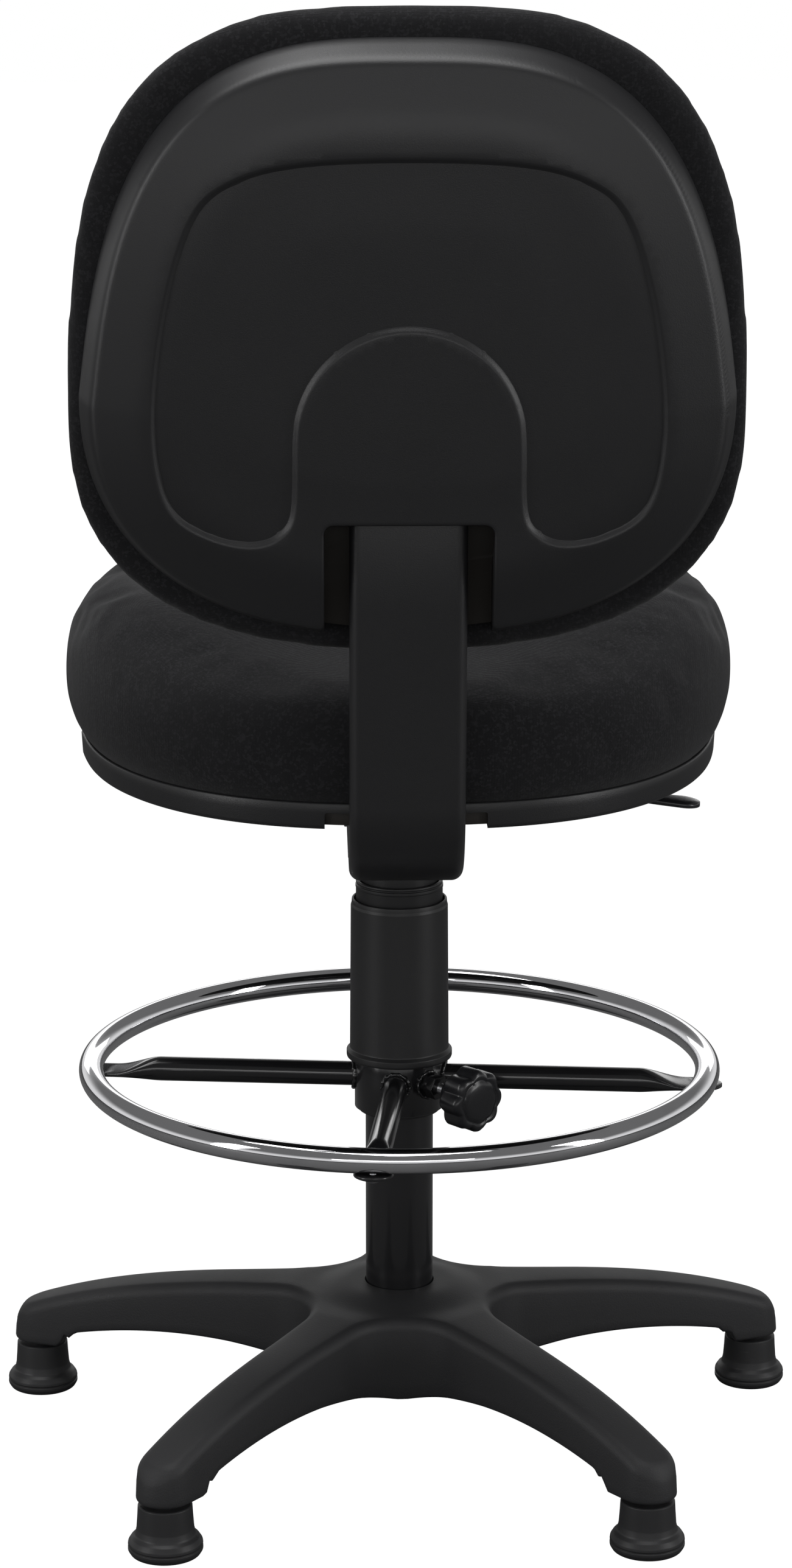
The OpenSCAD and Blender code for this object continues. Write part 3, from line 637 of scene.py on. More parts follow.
def makeBase():
    foot, edge = base["footEdge"], base["edge"]
    rows = [(foot * (1 - math.sin(a)), lambda p, a=a: baseUnder(p) + foot * (1 - math.cos(a)))
            for a in np.linspace(0, math.pi / 2, 4)]
    for t in (0.2, 0.45, 0.7):
        rows.append((0.0008 * t, lambda p, t=t: (
            baseUnder(p) + foot + t * (baseTop(p) - edge - baseUnder(p) - foot))))
    rows += edgeRows(edge, baseTop, 7, base["draft"])
    star = slab("baseSkin", basePlan(), rows, baseTop, baseUnder, 0.0045, 0.006, sharp=50)
    bays = bmesh.new()
    for k in range(base["legs"]):
        for x in base["bays"]:
            for side in (-1, 1):
                legBay(bays, Matrix.Rotation(legAngle(k), 3, "Z"), x, side)
        hubBay(bays, legAngle(k) - legStep / 2)
    bmesh.ops.recalc_face_normals(bays, faces=bays.faces)
    carve(star, cutter(bays))
    fit, mouth = columnHalf + 0.00015, columnHalf + 0.0022
    carve(star, turned("bore", [(0, base["cutFrom"]), (fit, base["cutFrom"]), (fit, hubTop - 0.0015),
                                (mouth, hubTop + 0.003), (0, hubTop + 0.003)], 96, False))
    shade(star, 50)
    return skin(star, "base", "base_star")


makeBase()
print("base made")

glide = {"flange": 0.0265, "neck": 0.0192, "foot": 0.0205, "waist": 0.0258, "top": 0.038, "recess": 0.007}
glideProfile = corners([
    (0, 0.0), (glide["foot"], 0.0, 0.001), (0.0215, 0.0009), (0.0245, 0.0012, 0.002),
    (glide["flange"], 0.0045, 0.002), (glide["flange"], 0.0066, 0.0006), (glide["waist"], 0.0071, 0.0003),
    (glide["waist"], 0.0078, 0.0003), (glide["flange"], 0.0084, 0.0006), (0.0262, 0.0105, 0.002),
    (0.0242, 0.0136, 0.003), (0.0214, 0.0156, 0.003), (0.0203, 0.0205, 0.008), (0.0196, 0.030),
    (glide["neck"], 0.0372, 0.0008), (0.0182, glide["top"], 0.0006), (glide["recess"], glide["top"]),
    (glide["recess"], 0.0375), (0, 0.0375)], 0.001, 5, False)
for k in range(base["legs"]):
    place = base["glideCircle"] * Vector((math.cos(legAngle(k)), math.sin(legAngle(k)), 0))
    foot = turned(f"glide{k + 1}Skin", glideProfile, 72, False)
    foot.data.transform(Matrix.Translation(place))
    skin(foot, "base", f"glide_{k + 1}")
print("glides made")


# column, sleeves

def pipe(name, outer, bore, low, high):
    # outer is a list of radius and height from the foot up
    edge = 0.0006
    return turned(name, corners([(bore, low, edge), *outer, (bore, high, edge)], edge, 3))


skin(pipe("columnSkin", [(0.025, 0.044, 0.001), (0.025, 0.410, 0.001)], 0.023, 0.044, 0.410),
     "base", "column_tube")
skin(pipe("lowerSleeveSkin", [
    (0.0386, 0.293, 0.0008), (0.039, 0.2945), (0.039, 0.2982, 0.0008), (0.0366, 0.3004, 0.0012),
    (0.0365, 0.3016), (0.0357, 0.4085), (0.0351, 0.4105, 0.0008), (0.0349, 0.414, 0.001)],
    0.0333, 0.293, 0.414), "ring_carrier", "lower_sleeve")
skin(pipe("middleSleeveSkin", [
    (0.0319, 0.302), (0.0319, 0.4222), (0.0322, 0.4228), (0.0322, 0.4246, 0.0004), (0.0314, 0.4252, 0.0003),
    (0.0314, 0.4258, 0.0003), (0.0319, 0.4264, 0.0004), (0.0317, 0.428, 0.0009)],
    0.0296, 0.302, 0.428), "sleeve_middle", "middle_sleeve")
skin(pipe("upperSleeveSkin", [
    (0.0279, 0.308), (0.0279, 0.4478), (0.0276, 0.4484), (0.0276, 0.4494), (0.0279, 0.450),
    (0.0276, 0.452, 0.0012)], 0.0264, 0.308, 0.452), "seat", "upper_sleeve")
skin(softened("ring_bush", 0.0004, "ringBushSkin"), "ring_carrier", "ring_bush")
print("column made")


# foot ring

ringSet = {"radius": 0.2277, "tube": 0.009, "z": 0.2864, "spokeZ": 0.278, "flatZ": 0.2758,
           "turn": -5.85, "knobTurn": 129.5, "hub": 0.033, "spokes": 4}


def ringTube():
    a = np.linspace(0, 2 * math.pi, 240, endpoint=False)
    b = np.linspace(0, 2 * math.pi, 40, endpoint=False)
    r = ringSet["radius"] + ringSet["tube"] * np.cos(b)
    z = ringSet["z"] + ringSet["tube"] * np.sin(b)
    rings = [np.stack([r * math.cos(t), r * math.sin(t), z], 1) for t in a]
    return lofted("footRingSkin", rings, joined=True)


skin(ringTube(), "ring", "foot_ring")
skin(softened("ring_hub", 0.0007, "ringHubSkin"), "ring", "ring_hub")


spokeSet = {"radius": 0.009, "bend": 0.178, "end": 0.2247, "flatHalf": 0.014, "flatThick": 0.0017}


def spokeStations():
    # round tube as far as the bend, then pressed flat under the ring, with a rounded end
    half, thick, tube = spokeSet["flatHalf"], spokeSet["flatThick"], spokeSet["radius"]
    stations = []
    for x in (0.0325, 0.06, 0.1, 0.14, 0.165, spokeSet["bend"]):
        stations.append((x, tube, tube, 2.0, ringSet["spokeZ"]))
    for t in np.linspace(0, 1, 15)[1:]:
        s = t * t * (3 - 2 * t)
        stations.append((spokeSet["bend"] + 0.034 * t, tube + 0.005 * s, tube - 0.0073 * s ** 0.9,
                         2 + 2.6 * s, ringSet["spokeZ"] + (ringSet["flatZ"] - ringSet["spokeZ"]) * s))
    stations.append((spokeSet["end"], half, thick, 4.6, ringSet["flatZ"]))
    for t in np.linspace(0, 1, 9)[1:]:
        a = t * math.pi / 2 * 0.985
        stations.append((spokeSet["end"] + half * math.sin(a), half * math.cos(a),
                         thick - 0.0004 * t, 4.6 - 1.6 * t, ringSet["flatZ"]))
    return stations


def weldBead(name, tube, width, turnDeg, seed):
    # uneven bead round the foot of a tube on the hub
    rng = np.random.default_rng(seed)
    count = 72
    t = np.linspace(0, 2 * math.pi, count, endpoint=False)
    ripple = 1 + 0.16 * np.sin(t * 13 + seed) + 0.08 * rng.standard_normal(count)
    b = np.linspace(0, 2 * math.pi, 12, endpoint=False)
    rings = []
    for i in range(count):
        y, z = (tube + 0.0006) * math.cos(t[i]), (tube + 0.0006) * math.sin(t[i])
        x = math.sqrt(ringSet["hub"] ** 2 - y ** 2) + 0.0003
        out = Vector((0.25, math.cos(t[i]), math.sin(t[i]))).normalized()
        fore = Vector((1, 0, 0))
        w = width * ripple[i]
        foot = Vector((x, y, z + ringSet["spokeZ"]))
        rings.append([foot + out * w * math.cos(s) + fore * w * math.sin(s) for s in b])
    bead = lofted(name, rings, 60, joined=True)
    bead.data.transform(Matrix.Rotation(rad(turnDeg), 4, "Z"))
    return bead


for k in range(ringSet["spokes"]):
    turnDeg = 90 + ringSet["turn"] + 90 * k
    spoke = flattened(f"spoke{k + 1}Skin", spokeStations(), 48)
    spoke.data.transform(Matrix.Rotation(rad(turnDeg), 4, "Z"))
    skin(spoke, "ring", f"spoke_{k + 1}")
    bead = weldBead(f"spokeWeld{k + 1}", spokeSet["radius"], 0.0019, turnDeg, k + 3)
    finishPiece(bead, "ring", looks["black_paint"], "black_paint")
skin(softened("ring_bolts", 0.0005, "ringBoltsSkin"), "ring", "ring_bolts")
print("foot ring made")

knob = {"reach": 0.0235, "dip": 0.0032, "lobes": 8}
knobPlace = (Matrix.Translation((0, 0, ringSet["spokeZ"])) @ Matrix.Rotation(rad(ringSet["knobTurn"]), 4, "Z")
             @ Matrix.Rotation(rad(90), 4, "Y"))


def knobEdge(inset, count=160):
    # lobed outline, as a radius at each angle
    a = np.linspace(0, 2 * math.pi, count, endpoint=False)
    wave = (1 + np.cos(a * knob["lobes"])) / 2
    r = knob["reach"] - knob["dip"] * (1 - wave ** 0.62) - inset
    return a, r


def makeKnob():
    rows = [(0.0130, 0.0690), (0.0065, 0.0700), (0.0022, 0.0702), (0.0006, 0.0710), (0.0, 0.0725),
            (0.0, 0.079), (0.0, 0.0855), (0.0005, 0.0875), (0.0018, 0.0892), (0.0034, 0.0900),
            (0.0050, 0.0899), (0.0056, 0.0893), (0.0064, 0.0893), (0.0070, 0.0899),
            (0.0100, 0.0907), (0.0150, 0.0912), (0.0200, 0.0913)]
    rings = []
    for inset, z in rows:
        a, r = knobEdge(inset)
        calm = min(1.0, inset / 0.008)
        r = r * (1 - calm) + (knob["reach"] - 0.0014 - inset) * calm
        rings.append(np.stack([r * np.cos(a), r * np.sin(a), np.full(len(a), z)], 1))
    neck = []
    for r, z in ((0.0085, 0.0580), (0.0105, 0.0582), (0.0110, 0.0590), (0.0110, 0.0660), (0.0112, 0.0684)):
        neck.append(np.stack([r * np.cos(a), r * np.sin(a), np.full(len(a), z)], 1))
    head = lofted("knobSkin", neck + rings, 50)
    head.data.transform(knobPlace)
    return head


skin(makeKnob(), "knob", "clamp_knob")
screwSet = {"tip": 0.0316, "radius": 0.00395, "root": 0.0034, "pitch": 0.00125, "head": 0.078}
threads = [p for z in np.arange(0.0470, 0.0578, screwSet["pitch"])
           for p in ((screwSet["radius"], z), (screwSet["root"], z + 0.0006))]
screw = turned("clampScrewSkin", corners(
    [(0, screwSet["tip"]), (0.0033, screwSet["tip"], 0.0004), (screwSet["radius"], 0.0324, 0.0003), *threads,
     (screwSet["radius"], 0.0585), (screwSet["radius"], screwSet["head"]), (0, screwSet["head"])],
    0.0002, 2, False), 40, False)
screw.data.transform(knobPlace)
skin(screw, "knob", "clamp_screw")
skin(softened("clamp_nut", 0.0009, "clampNutSkin", 3), "ring", "clamp_nut")
bead = weldBead("nutWeld", 0.0088, 0.0017, ringSet["knobTurn"], 11)
finishPiece(bead, "ring", looks["black_paint"], "black_paint")
print("clamp made")


# mechanism and levers

for nodeName, body, width in (
        ("taper_socket", "seat", 0.001), ("mechanism_housing", "seat", 0.0008),
        ("lever_bushes", "seat", 0.0004), ("recline_pin", "seat", 0.0006),
        ("height_lever", "height_handle", 0.0006),
        ("lock_lever", "lock_handle", 0.0006),
        ("seat_bolts", "seat", 0.0004), ("seat_board", "seat", 0.001), ("back_bar", "bar", 0.0008),
        ("back_bracket", "back", 0.0005), ("back_board", "back", 0.001)):
    skin(softened(nodeName, width, nodeName.replace("_", "") + "Skin"), body, nodeName)


handle = {"blade": 0.0128, "neck": 0.0088, "socket": 0.0062, "thin": 0.0027, "flare": 0.02, "pivotX": -0.037}


def paddle(name, start, reachX, slope, y, z, tilt):
    # socket round the rod that runs out into a flat tongue with a rounded tip
    blade, neck, socket, thin = handle["blade"], handle["neck"], handle["socket"], handle["thin"]
    fall = -math.tan(rad(slope))
    stations = [(start - 0.024, 0.0054, 0.0054, 2.0, 0), (start - 0.0235, 0.006, 0.006, 2.0, 0),
                (start - 0.0225, socket, socket, 2.0, 0), (start - 0.012, socket, socket, 2.0, 0)]
    x0 = start - 0.008
    tip = x0 + reachX
    for t in np.linspace(0, 1, 9)[1:]:
        s = t * t * (3 - 2 * t)
        x = x0 + handle["flare"] * t
        stations.append((x, 0.0066 + (neck - 0.0066) * s, socket - 0.0035 * s, 2 + 1.4 * s,
                         fall * handle["flare"] * t))
    for t in np.linspace(0, 1, 7)[1:]:
        x = x0 + handle["flare"] + (reachX - handle["flare"]) * t
        stations.append((x, neck + (blade - neck) * t ** 0.8, thin, 3.4, fall * (x - x0)))
    for t in np.linspace(0, 1, 10)[1:]:
        a = t * math.pi / 2 * 0.98
        x = tip + blade * math.sin(a)
        stations.append((x, blade * math.cos(a), thin - 0.0012 * t ** 3, 3.4 - t, fall * (x - x0)))
    obj = flattened(name, stations, 40)
    obj.data.transform(Matrix.Translation((handle["pivotX"], y, z)) @ Matrix.Rotation(math.pi, 4, "Z")
                       @ Matrix.Rotation(rad(tilt), 4, "Y"))
    return obj


skin(paddle("heightPaddleSkin", 0.116, 0.032, 3, 0.0, 0.508, 2.5), "height_handle", "height_paddle")
skin(paddle("lockPaddleSkin", 0.128, 0.046, 5, 0.045, 0.504, 1.5), "lock_handle", "lock_paddle")
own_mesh(nodes["recline_spring"])
print("mechanism made")


# seat pan

panLow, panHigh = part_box("seat_pan")[0].z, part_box("seat_pan")[1].z
pan = {"wall": 0.003, "edge": 0.0035, "draft": 0.0008}


def panPlan(grow=0.0, step=0.004):
    loop = softOutline(0.232 + grow, 0.233 + grow, 0.194 + grow, 2.5, 3.4, 0.13, 0.03, step)
    return loop + np.array([0, -0.02])


def level(z):
    return lambda p: np.full(len(p), z)


def makePan():
    loop = panPlan(-0.0002)
    floorIn = level(panLow + pan["wall"])
    rows = [(0.0034, floorIn)]
    rows += [(inset, level(panHigh - below)) for inset, below in (
        (0.0034, 0.0012), (0.0030, 0.0004), (0.0022, 0), (0.0012, 0), (0.0004, 0.0004), (0.0, 0.0012),
        (pan["draft"] * 0.4, 0.007))]
    rows.append((pan["draft"], level(panLow + pan["edge"])))
    for k in range(1, 6):
        a = math.pi / 2 * k / 5
        rows.append((pan["draft"] + pan["edge"] * (1 - math.cos(a)),
                     level(panLow + pan["edge"] * (1 - math.sin(a)))))
    obj = slab("panSkin", loop, rows, level(panLow), floorIn, 0.03, 0.03)
    carve(obj, cutBox((-0.089, -0.081, panLow - 0.01), (0.089, 0.099, panLow + 0.012), 0.001))
    carve(obj, cutBox((-0.0555, 0.097, panLow - 0.02), (0.0555, 0.24, panLow + 0.012), 0.0015))
    shade(obj, 45)
    return obj


skin(makePan(), "seat", "seat_pan")
print("pan made")


# back shell, bar and cover

backAxis = Vector(next(j["axis"] for j in frame["joints"] if j["name"] == "back_height"))
lean = math.atan2(backAxis.y, backAxis.z)
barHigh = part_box("back_bar")[1]
backStart = (barHigh.y - 0.345 * math.sin(lean) - 0.00405 * math.cos(lean),
             barHigh.z - 0.345 * math.cos(lean) - 0.00405 * math.sin(lean))


def onBack(p):
    # from distances across, up the back and out to its rear, to the shared frame
    p = np.asarray(p, float)
    u, w, v = p[:, 0], p[:, 1], p[:, 2]
    return np.stack([u, backStart[0] + v * math.cos(lean) + w * math.sin(lean),
                     backStart[1] - v * math.sin(lean) + w * math.cos(lean)], 1)


shell = {"mid": 0.279, "half": 0.215, "up": 0.2335, "down": 0.165, "rim": -0.024, "wall": 0.003,
         "edge": 0.0022, "notchHalf": 0.0555, "notchTop": 0.202, "notchR": 0.006,
         "recess": 0.0034, "step": 0.0055}
shellLine = (softOutline(shell["half"], shell["up"], shell["down"], 3, 2.33, 0.13, 0)
             + np.array([0, shell["mid"]]))
wallLine = corners([(0, -0.0172), (0.0012, -0.0125), (0.0085, 0.0075, 0.008), (0.050, 0.0215, 0.09),
                    (0.115, 0.0238, 0.1), (0.3, 0.0240)], 0.012, 12, False)
horseshoe = [(0, 0.442), (0.070, 0.439), (0.112, 0.428), (0.138, 0.405), (0.156, 0.350), (0.1655, 0.283),
             (0.163, 0.235), (0.152, 0.208), (0.128, 0.1935), (0.102, 0.189), (0.084, 0.196), (0.0755, 0.212),
             (0.074, 0.2595)]
arch = [(0.074 * math.cos(a), 0.2595 + 0.074 * math.sin(a)) for a in np.linspace(0, math.pi, 13)[1:-1]]
recessLine = evenly(curveThrough(horseshoe + arch + [(-x, y) for x, y in horseshoe[:0:-1]]), 0.004)


def shellBack(p, recess=True):
    d = depthIn(p, shellLine)
    v = np.interp(d, wallLine[:, 0], wallLine[:, 1])
    if recess:
        v = v - shell["recess"] * ease(depthIn(p, recessLine), -shell["step"] / 2, shell["step"] / 2)
    return v


def shellLoop():
    # the outline with the slot for the bar cut into its lower edge
    n, top, r = shell["notchHalf"], shell["notchTop"], shell["notchR"]
    clear = np.abs(shellLine[:, 0]) > n + 0.004
    keep = shellLine[clear | (shellLine[:, 1] > shell["mid"])]
    start = np.argmax(np.where(keep[:, 1] < shell["mid"], -np.abs(keep[:, 0]) - (keep[:, 0] < 0) * 9, -99))
    keep = np.roll(keep, -start, 0)
    right = keep[0]
    low = right[1] - 0.0012
    if keep[1][1] < right[1]:
        keep = np.roll(keep[::-1], 1, 0)
    slot = [(-n, low, 0.005), (-n, top, r), (n, top, r), (n, low, 0.005)]
    return evenly(corners([(*p, 0) for p in keep] + slot, 0, 6), 0.0024)


def turningPoints(loop):
    # extra points where the rear face turns: inside the rim and along the recess
    extra = []
    towards = facing(shellLine)
    for d in (0.0046, 0.0058, 0.0070, 0.0082, 0.0094, 0.0106, 0.0120, 0.0136, 0.0156,
              0.018, 0.021, 0.025, 0.030):
        extra.append(evenly(shellLine + towards * d, 0.0032))
    along = facing(recessLine)
    for d in (-0.0030, -0.0018, -0.0006, 0.0006, 0.0018, 0.0030):
        extra.append(evenly(recessLine + along * d, 0.0022))
    extra = np.vstack(extra)
    extra = extra[depthIn(extra, loop) > 0.0045]
    first = {}
    for q in extra:
        first.setdefault(tuple(np.round(q / 0.0011).astype(int)), q)
    return np.array(list(first.values()))


def makeShell():
    loop = shellLoop()
    atNotch = (np.abs(loop[:, 0]) < shell["notchHalf"] + 0.0005) & (loop[:, 1] < shell["notchTop"] + 0.001)
    lip = atNotch * ease(loop[:, 1], 0.150, 0.194)
    wall, edge = shell["wall"], shell["edge"]

    def foot(p):
        return shell["rim"] + (shellBack(p) - wall - shell["rim"]) * lip

    def side(t):
        return lambda p: foot(p) + 0.0012 + t * np.maximum(0.0002, shellBack(p) - edge - foot(p) - 0.0012)

    rows = [(wall, lambda p: np.maximum(shellBack(p) - wall, foot(p) + 0.001)),
            (wall, lambda p: foot(p) + 0.0008), (wall - 0.0008, foot), (0.0012, foot),
            (0.0003, lambda p: foot(p) + 0.0003), (0.0, lambda p: foot(p) + 0.0012)]
    rows += [(0.0, side(t)) for t in (0.25, 0.5, 0.75)]
    rows += edgeRows(edge, shellBack, 4)
    rows.append((0.0034, shellBack))
    return slab("shellSkin", loop, rows, shellBack, lambda p: shellBack(p, False) - wall, 0.0046, 0.012,
                turningPoints(loop), onBack, 50)


skin(makeShell(), "back", "back_shell")
print("shell made")

cover = {"half": 0.039, "thick": 0.013, "corner": 0.008, "barZ": 0.490, "bendY": 0.1825, "bendR": 0.060,
         "from": 0.097, "top": 0.214}


def coverRing(inset, count=10):
    a, b, r = cover["half"] - inset, cover["thick"] - inset, max(0.001, cover["corner"] - inset)
    out = []
    for k, (sx, sy) in enumerate(((1, 1), (-1, 1), (-1, -1), (1, -1))):
        for t in np.linspace(0, math.pi / 2, count):
            ang = t + k * math.pi / 2
            out.append((sx * (a - r) + r * math.cos(ang), sy * (b - r) + r * math.sin(ang)))
    return np.array(out)


def makeCover():
    # stations along the bar: level, round the bend and up
    rings = []
    for along, inset in ((0, 0.0026), (0.0004, 0.0012), (0.0016, 0.0002), (0.003, 0), (0.03, 0), (0.06, 0)):
        y = cover["from"] + along
        s = coverRing(inset)
        rings.append(np.stack([s[:, 0], np.full(len(s), y), cover["barZ"] + s[:, 1]], 1))
    for t in np.linspace(0, math.pi / 2 - lean, 25):
        s = coverRing(0)
        radius = cover["bendR"] - s[:, 1]
        rings.append(np.stack([s[:, 0], cover["bendY"] + radius * math.sin(t),
                               cover["barZ"] + cover["bendR"] - radius * math.cos(t)], 1))
    top = cover["top"]
    for w, inset in ((0.03, 0), (0.08, 0), (0.14, 0), (top - 0.002, 0), (top - 0.0006, 0.0006), (top, 0.002)):
        s = coverRing(inset)
        rings.append(onBack(np.stack([s[:, 0], np.full(len(s), w), -s[:, 1]], 1)))
    return lofted("coverSkin", rings, 45)


skin(makeCover(), "bar", "bar_cover")
print("cover made")


# cushions

def clothPuff(obj, held, pressure, cap, voxel, frames=20):
    # cloth blown up a little inside its own skin, held where it is fixed to the board
    m = obj.modifiers.new("voxels", "REMESH")
    m.mode, m.voxel_size = "VOXEL", voxel
    settle(obj)
    rest = np.array([v.co[:] for v in obj.data.vertices])
    group = obj.vertex_groups.new(name="held")
    weight = held(rest)
    for i, w in enumerate(weight):
        if w > 0.01:
            group.add([i], float(w), "REPLACE")
    m = obj.modifiers.new("cloth", "CLOTH")
    s = m.settings
    s.quality, s.mass, s.bending_stiffness = 6, 0.35, 0.8
    s.tension_stiffness = s.compression_stiffness = 22
    s.use_pressure, s.uniform_pressure_force = True, pressure
    s.vertex_group_mass, s.pin_stiffness = "held", 1.0
    s.effector_weights.gravity = 0
    m.collision_settings.use_self_collision = False
    scene = bpy.context.scene
    for f in range(1, frames + 1):
        scene.frame_set(f)
    dg = bpy.context.evaluated_depsgraph_get()
    blown = np.array([v.co[:] for v in obj.evaluated_get(dg).data.vertices])
    scene.frame_set(1)
    obj.modifiers.clear()
    obj.vertex_groups.clear()
    move = blown - rest
    size = np.linalg.norm(move, axis=1)
    move *= (np.minimum(size, cap) / np.maximum(size, 1e-9))[:, None]
    move *= (1 - np.clip(weight, 0, 1))[:, None]
    obj.data.vertices.foreach_set("co", (rest + move).astype(np.float32).ravel())
    obj.data.update()
    m = obj.modifiers.new("calm", "SMOOTH")
    m.factor, m.iterations = 0.5, 5
    m = obj.modifiers.new("fine", "SUBSURF")
    m.levels = m.render_levels = 1
    settle(obj)
    print(obj.name, "puffed", round(float(size.max()) * 1000, 1), "mm,", len(obj.data.vertices), "points")


seat = {"low": 0.5324, "top": 0.6480, "dish": 0.020, "bulge": 0.0102, "rearDrop": 0.030}
puff = {"pressure": 3.0, "cap": 0.005, "voxel": 0.006}


def rearFall(p):
    # how far the upper edge has dropped towards the rear, where the back comes down
    return seat["rearDrop"] * ease(p[:, 1], 0.03, 0.20)


def seatTop(p):
    # dished middle between raised sides, falling away to the front edge
    d = depthIn(p, panPlan(0.0, 0.012))
    x, y = p[:, 0], p[:, 1] + 0.02
    dish = seat["dish"] * np.exp(-((x / 0.13) ** 2)) * np.exp(-((y / 0.22) ** 4))
    frontFall = 0.006 * ease(-y, 0.10, 0.19)
    return seat["top"] - dish - rearFall(p) * 0.9 - frontFall - 0.003 * ease(0.06 - d, 0, 0.05)


def makeSeat():
    loop = panPlan(0.0, 0.006)
    # inset, height and share of the rear drop
    side = [(0.0060, seat["low"], 0), (0.0040, seat["low"] + 0.001, 0), (0.0005, 0.5375, 0),
            (-0.0040, 0.545, 0), (-0.0076, 0.556, 0), (-0.0100, 0.569, 0), (-seat["bulge"], 0.580, 0),
            (-0.0098, 0.592, 0.15), (-0.0082, 0.605, 0.35), (-0.0062, 0.617, 0.6),
            (-0.0034, 0.628, 0.8), (0.0006, 0.6375, 0.95)]
    rows = [(inset, lambda p, z=z, fall=fall: z - fall * rearFall(p)) for inset, z, fall in side]
    rows.append((0.0070, lambda p: seatTop(p) - 0.0030))
    rows.append((0.0155, lambda p: seatTop(p) - 0.0004))
    return slab("seatCushion", loop, rows, seatTop, level(seat["low"]), 0.012, 0.02, sharp=180)


seatCushion = makeSeat()
clothPuff(seatCushion, lambda p: 1 - ease(p[:, 2], 0.536, 0.556), **puff)
shade(seatCushion, 180)
skin(seatCushion, "seat", "seat_cushion")
print("seat cushion made")

backPad = {"half": 0.2245, "up": 0.2745, "down": 0.1595, "mid": 0.257, "thick": 0.056, "back": -0.0244}


def padFront(p):
    # front face, towards the sitter: crowned across and fuller low down
    u, w = p[:, 0], p[:, 1] - backPad["mid"]
    x = np.clip(np.abs(u) / backPad["half"], 0, 1)
    y = np.clip(np.abs(w) / np.where(w > 0, backPad["up"], backPad["down"]), 0, 1)
    hollow = 0.012 * np.exp(-(u / 0.12) ** 2)
    lumbar = 0.008 * np.exp(-((w + 0.03) / 0.09) ** 2)
    return -(0.024 + backPad["thick"] - 0.012 - hollow + lumbar - 0.010 * y ** 3 - 0.006 * x ** 4)


def makeBackPad():
    loop = softOutline(backPad["half"], backPad["up"], backPad["down"], 3.14, 2.5, 0.023, 0, 0.006)
    loop = loop + np.array([0, backPad["mid"]])
    side = [(0.0085, backPad["back"]), (0.0050, -0.0250), (0.0020, -0.0285), (0.0002, -0.035), (0.0, -0.0425),
            (0.0006, -0.050), (0.0040, -0.0575), (0.0105, -0.0630)]
    rows = [(0.022, lambda p: padFront(p) * 0.35 - 0.0645 * 0.65), (0.034, padFront)]
    rows = [(inset, level(v)) for inset, v in side] + rows
    return slab("backCushion", loop, rows, padFront, level(backPad["back"]), 0.012, 0.02,
                place=onBack, sharp=180)


backCushion = makeBackPad()


def heldToBoard(p):
    v = (p[:, 1] - backStart[0]) * math.cos(lean) - (p[:, 2] - backStart[1]) * math.sin(lean)
    return 1 - ease(-v, 0.028, 0.040)


clothPuff(backCushion, heldToBoard, **puff)
shade(backCushion, 180)
skin(backCushion, "back", "back_cushion")
print("back cushion made")


# floor, lights and camera
# the floor and the world are white to the camera only, and darker to reflections and bounced light
floor = addMesh("floor", [(-14, -14, 0), (14, -14, 0), (14, 14, 0), (-14, 14, 0)], [(0, 1, 2, 3)])
paint = bpy.data.materials.new("floor_paint")
paint.use_nodes = True
floor.data.materials.append(paint)
tree = paint.node_tree
tree.nodes["Principled BSDF"].inputs["Base Color"].default_value = (0.13, 0.13, 0.13, 1)
tree.nodes["Principled BSDF"].inputs["Roughness"].default_value = 0.8
paper = put(tree, "ShaderNodeEmission", Color=(1, 1, 1, 1), Strength=1.12)
isCamera = tree.nodes.new("ShaderNodeLightPath").outputs["Is Camera Ray"]
both = put(tree, "ShaderNodeMixShader", i0=calc(tree, "MULTIPLY", isCamera, 0.93),
           i1=tree.nodes["Principled BSDF"].outputs[0], i2=paper.outputs[0])
tree.links.new(both.outputs[0], tree.nodes["Material Output"].inputs[0])

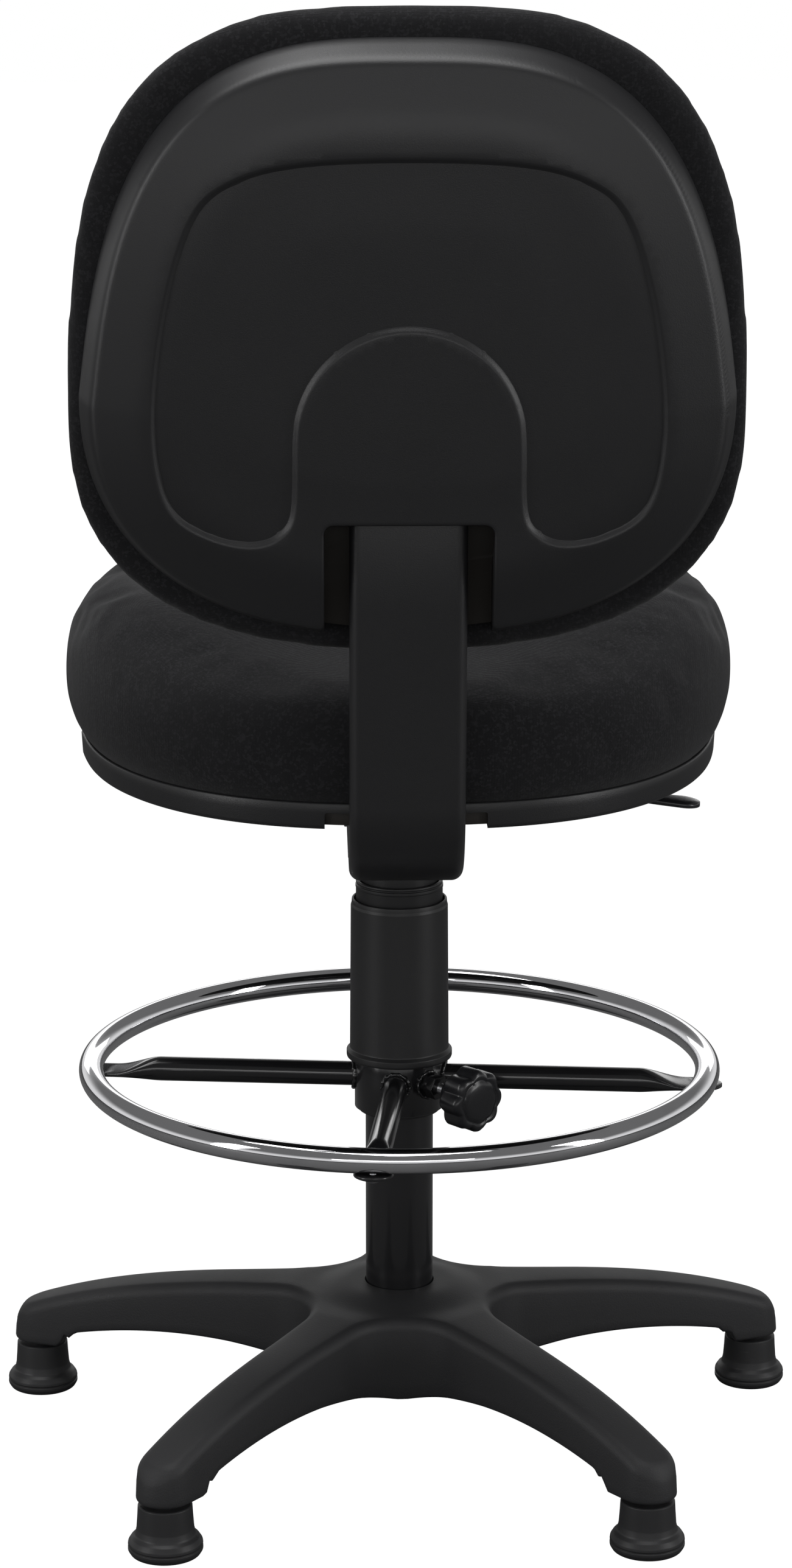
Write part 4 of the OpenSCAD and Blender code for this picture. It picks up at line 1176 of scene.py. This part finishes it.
world = bpy.data.worlds.new("studio")
bpy.context.scene.world = world
world.use_nodes = True
tree = world.node_tree
room = tree.nodes["Background"]
room.inputs[0].default_value = (1, 1, 1, 1)
at = tree.nodes.new("ShaderNodeTexCoord").outputs["Generated"]
up = put(tree, "ShaderNodeSeparateXYZ", Vector=at).outputs[2]
band = put(tree, "ShaderNodeMapRange", {"interpolation_type": "SMOOTHSTEP"}, Value=up,
           From_Min=0.12, From_Max=0.42, To_Min=0.75, To_Max=0.15)
tree.links.new(band.outputs[0], room.inputs[1])
backdrop = put(tree, "ShaderNodeBackground", Color=(1, 1, 1, 1), Strength=1.0)
both = put(tree, "ShaderNodeMixShader", i0=tree.nodes.new("ShaderNodeLightPath").outputs["Is Camera Ray"],
           i1=room.outputs[0], i2=backdrop.outputs[0])
tree.links.new(both.outputs[0], tree.nodes["World Output"].inputs[0])


def softbox(name, place, target, size, power):
    light = bpy.data.lights.new(name, "AREA")
    light.shape, light.size, light.size_y, light.energy = "RECTANGLE", size[0], size[1], power
    obj = bpy.data.objects.new(name, light)
    obj.location = place
    obj.rotation_euler = (Vector(target) - Vector(place)).to_track_quat("-Z", "Y").to_euler()
    bpy.context.scene.collection.objects.link(obj)


softbox("overhead", (0.2, 0.2, 2.9), (0, 0.05, 0.5), (2.2, 1.4), 42)
softbox("leftSide", (2.4, 1.3, 1.3), (0, 0.1, 0.7), (0.5, 2.0), 17)
softbox("rightSide", (-2.4, 1.1, 1.3), (0, 0.1, 0.7), (0.5, 2.0), 19)
softbox("frontStrip", (0, 3.6, 1.35), (0, 0, 0.5), (3.2, 0.45), 11)
softbox("farStrip", (0, -3.4, 1.1), (0, 0, 0.5), (3.2, 0.6), 8)

eye = {"place": (0.0684, 3.0231, 1.2232), "down": 13.466, "heading": 178.75, "lens": 97.9}
camera = bpy.data.cameras.new("camera")
camera.sensor_width = camera.sensor_height = 36
camera.lens = eye["lens"]
cameraObj = bpy.data.objects.new("camera", camera)
cameraObj.location = eye["place"]
cameraObj.rotation_euler = (rad(90 - eye["down"]), 0, rad(eye["heading"]))
bpy.context.scene.collection.objects.link(cameraObj)
bpy.context.scene.camera = cameraObj
bpy.context.scene.view_settings.view_transform = "Standard"
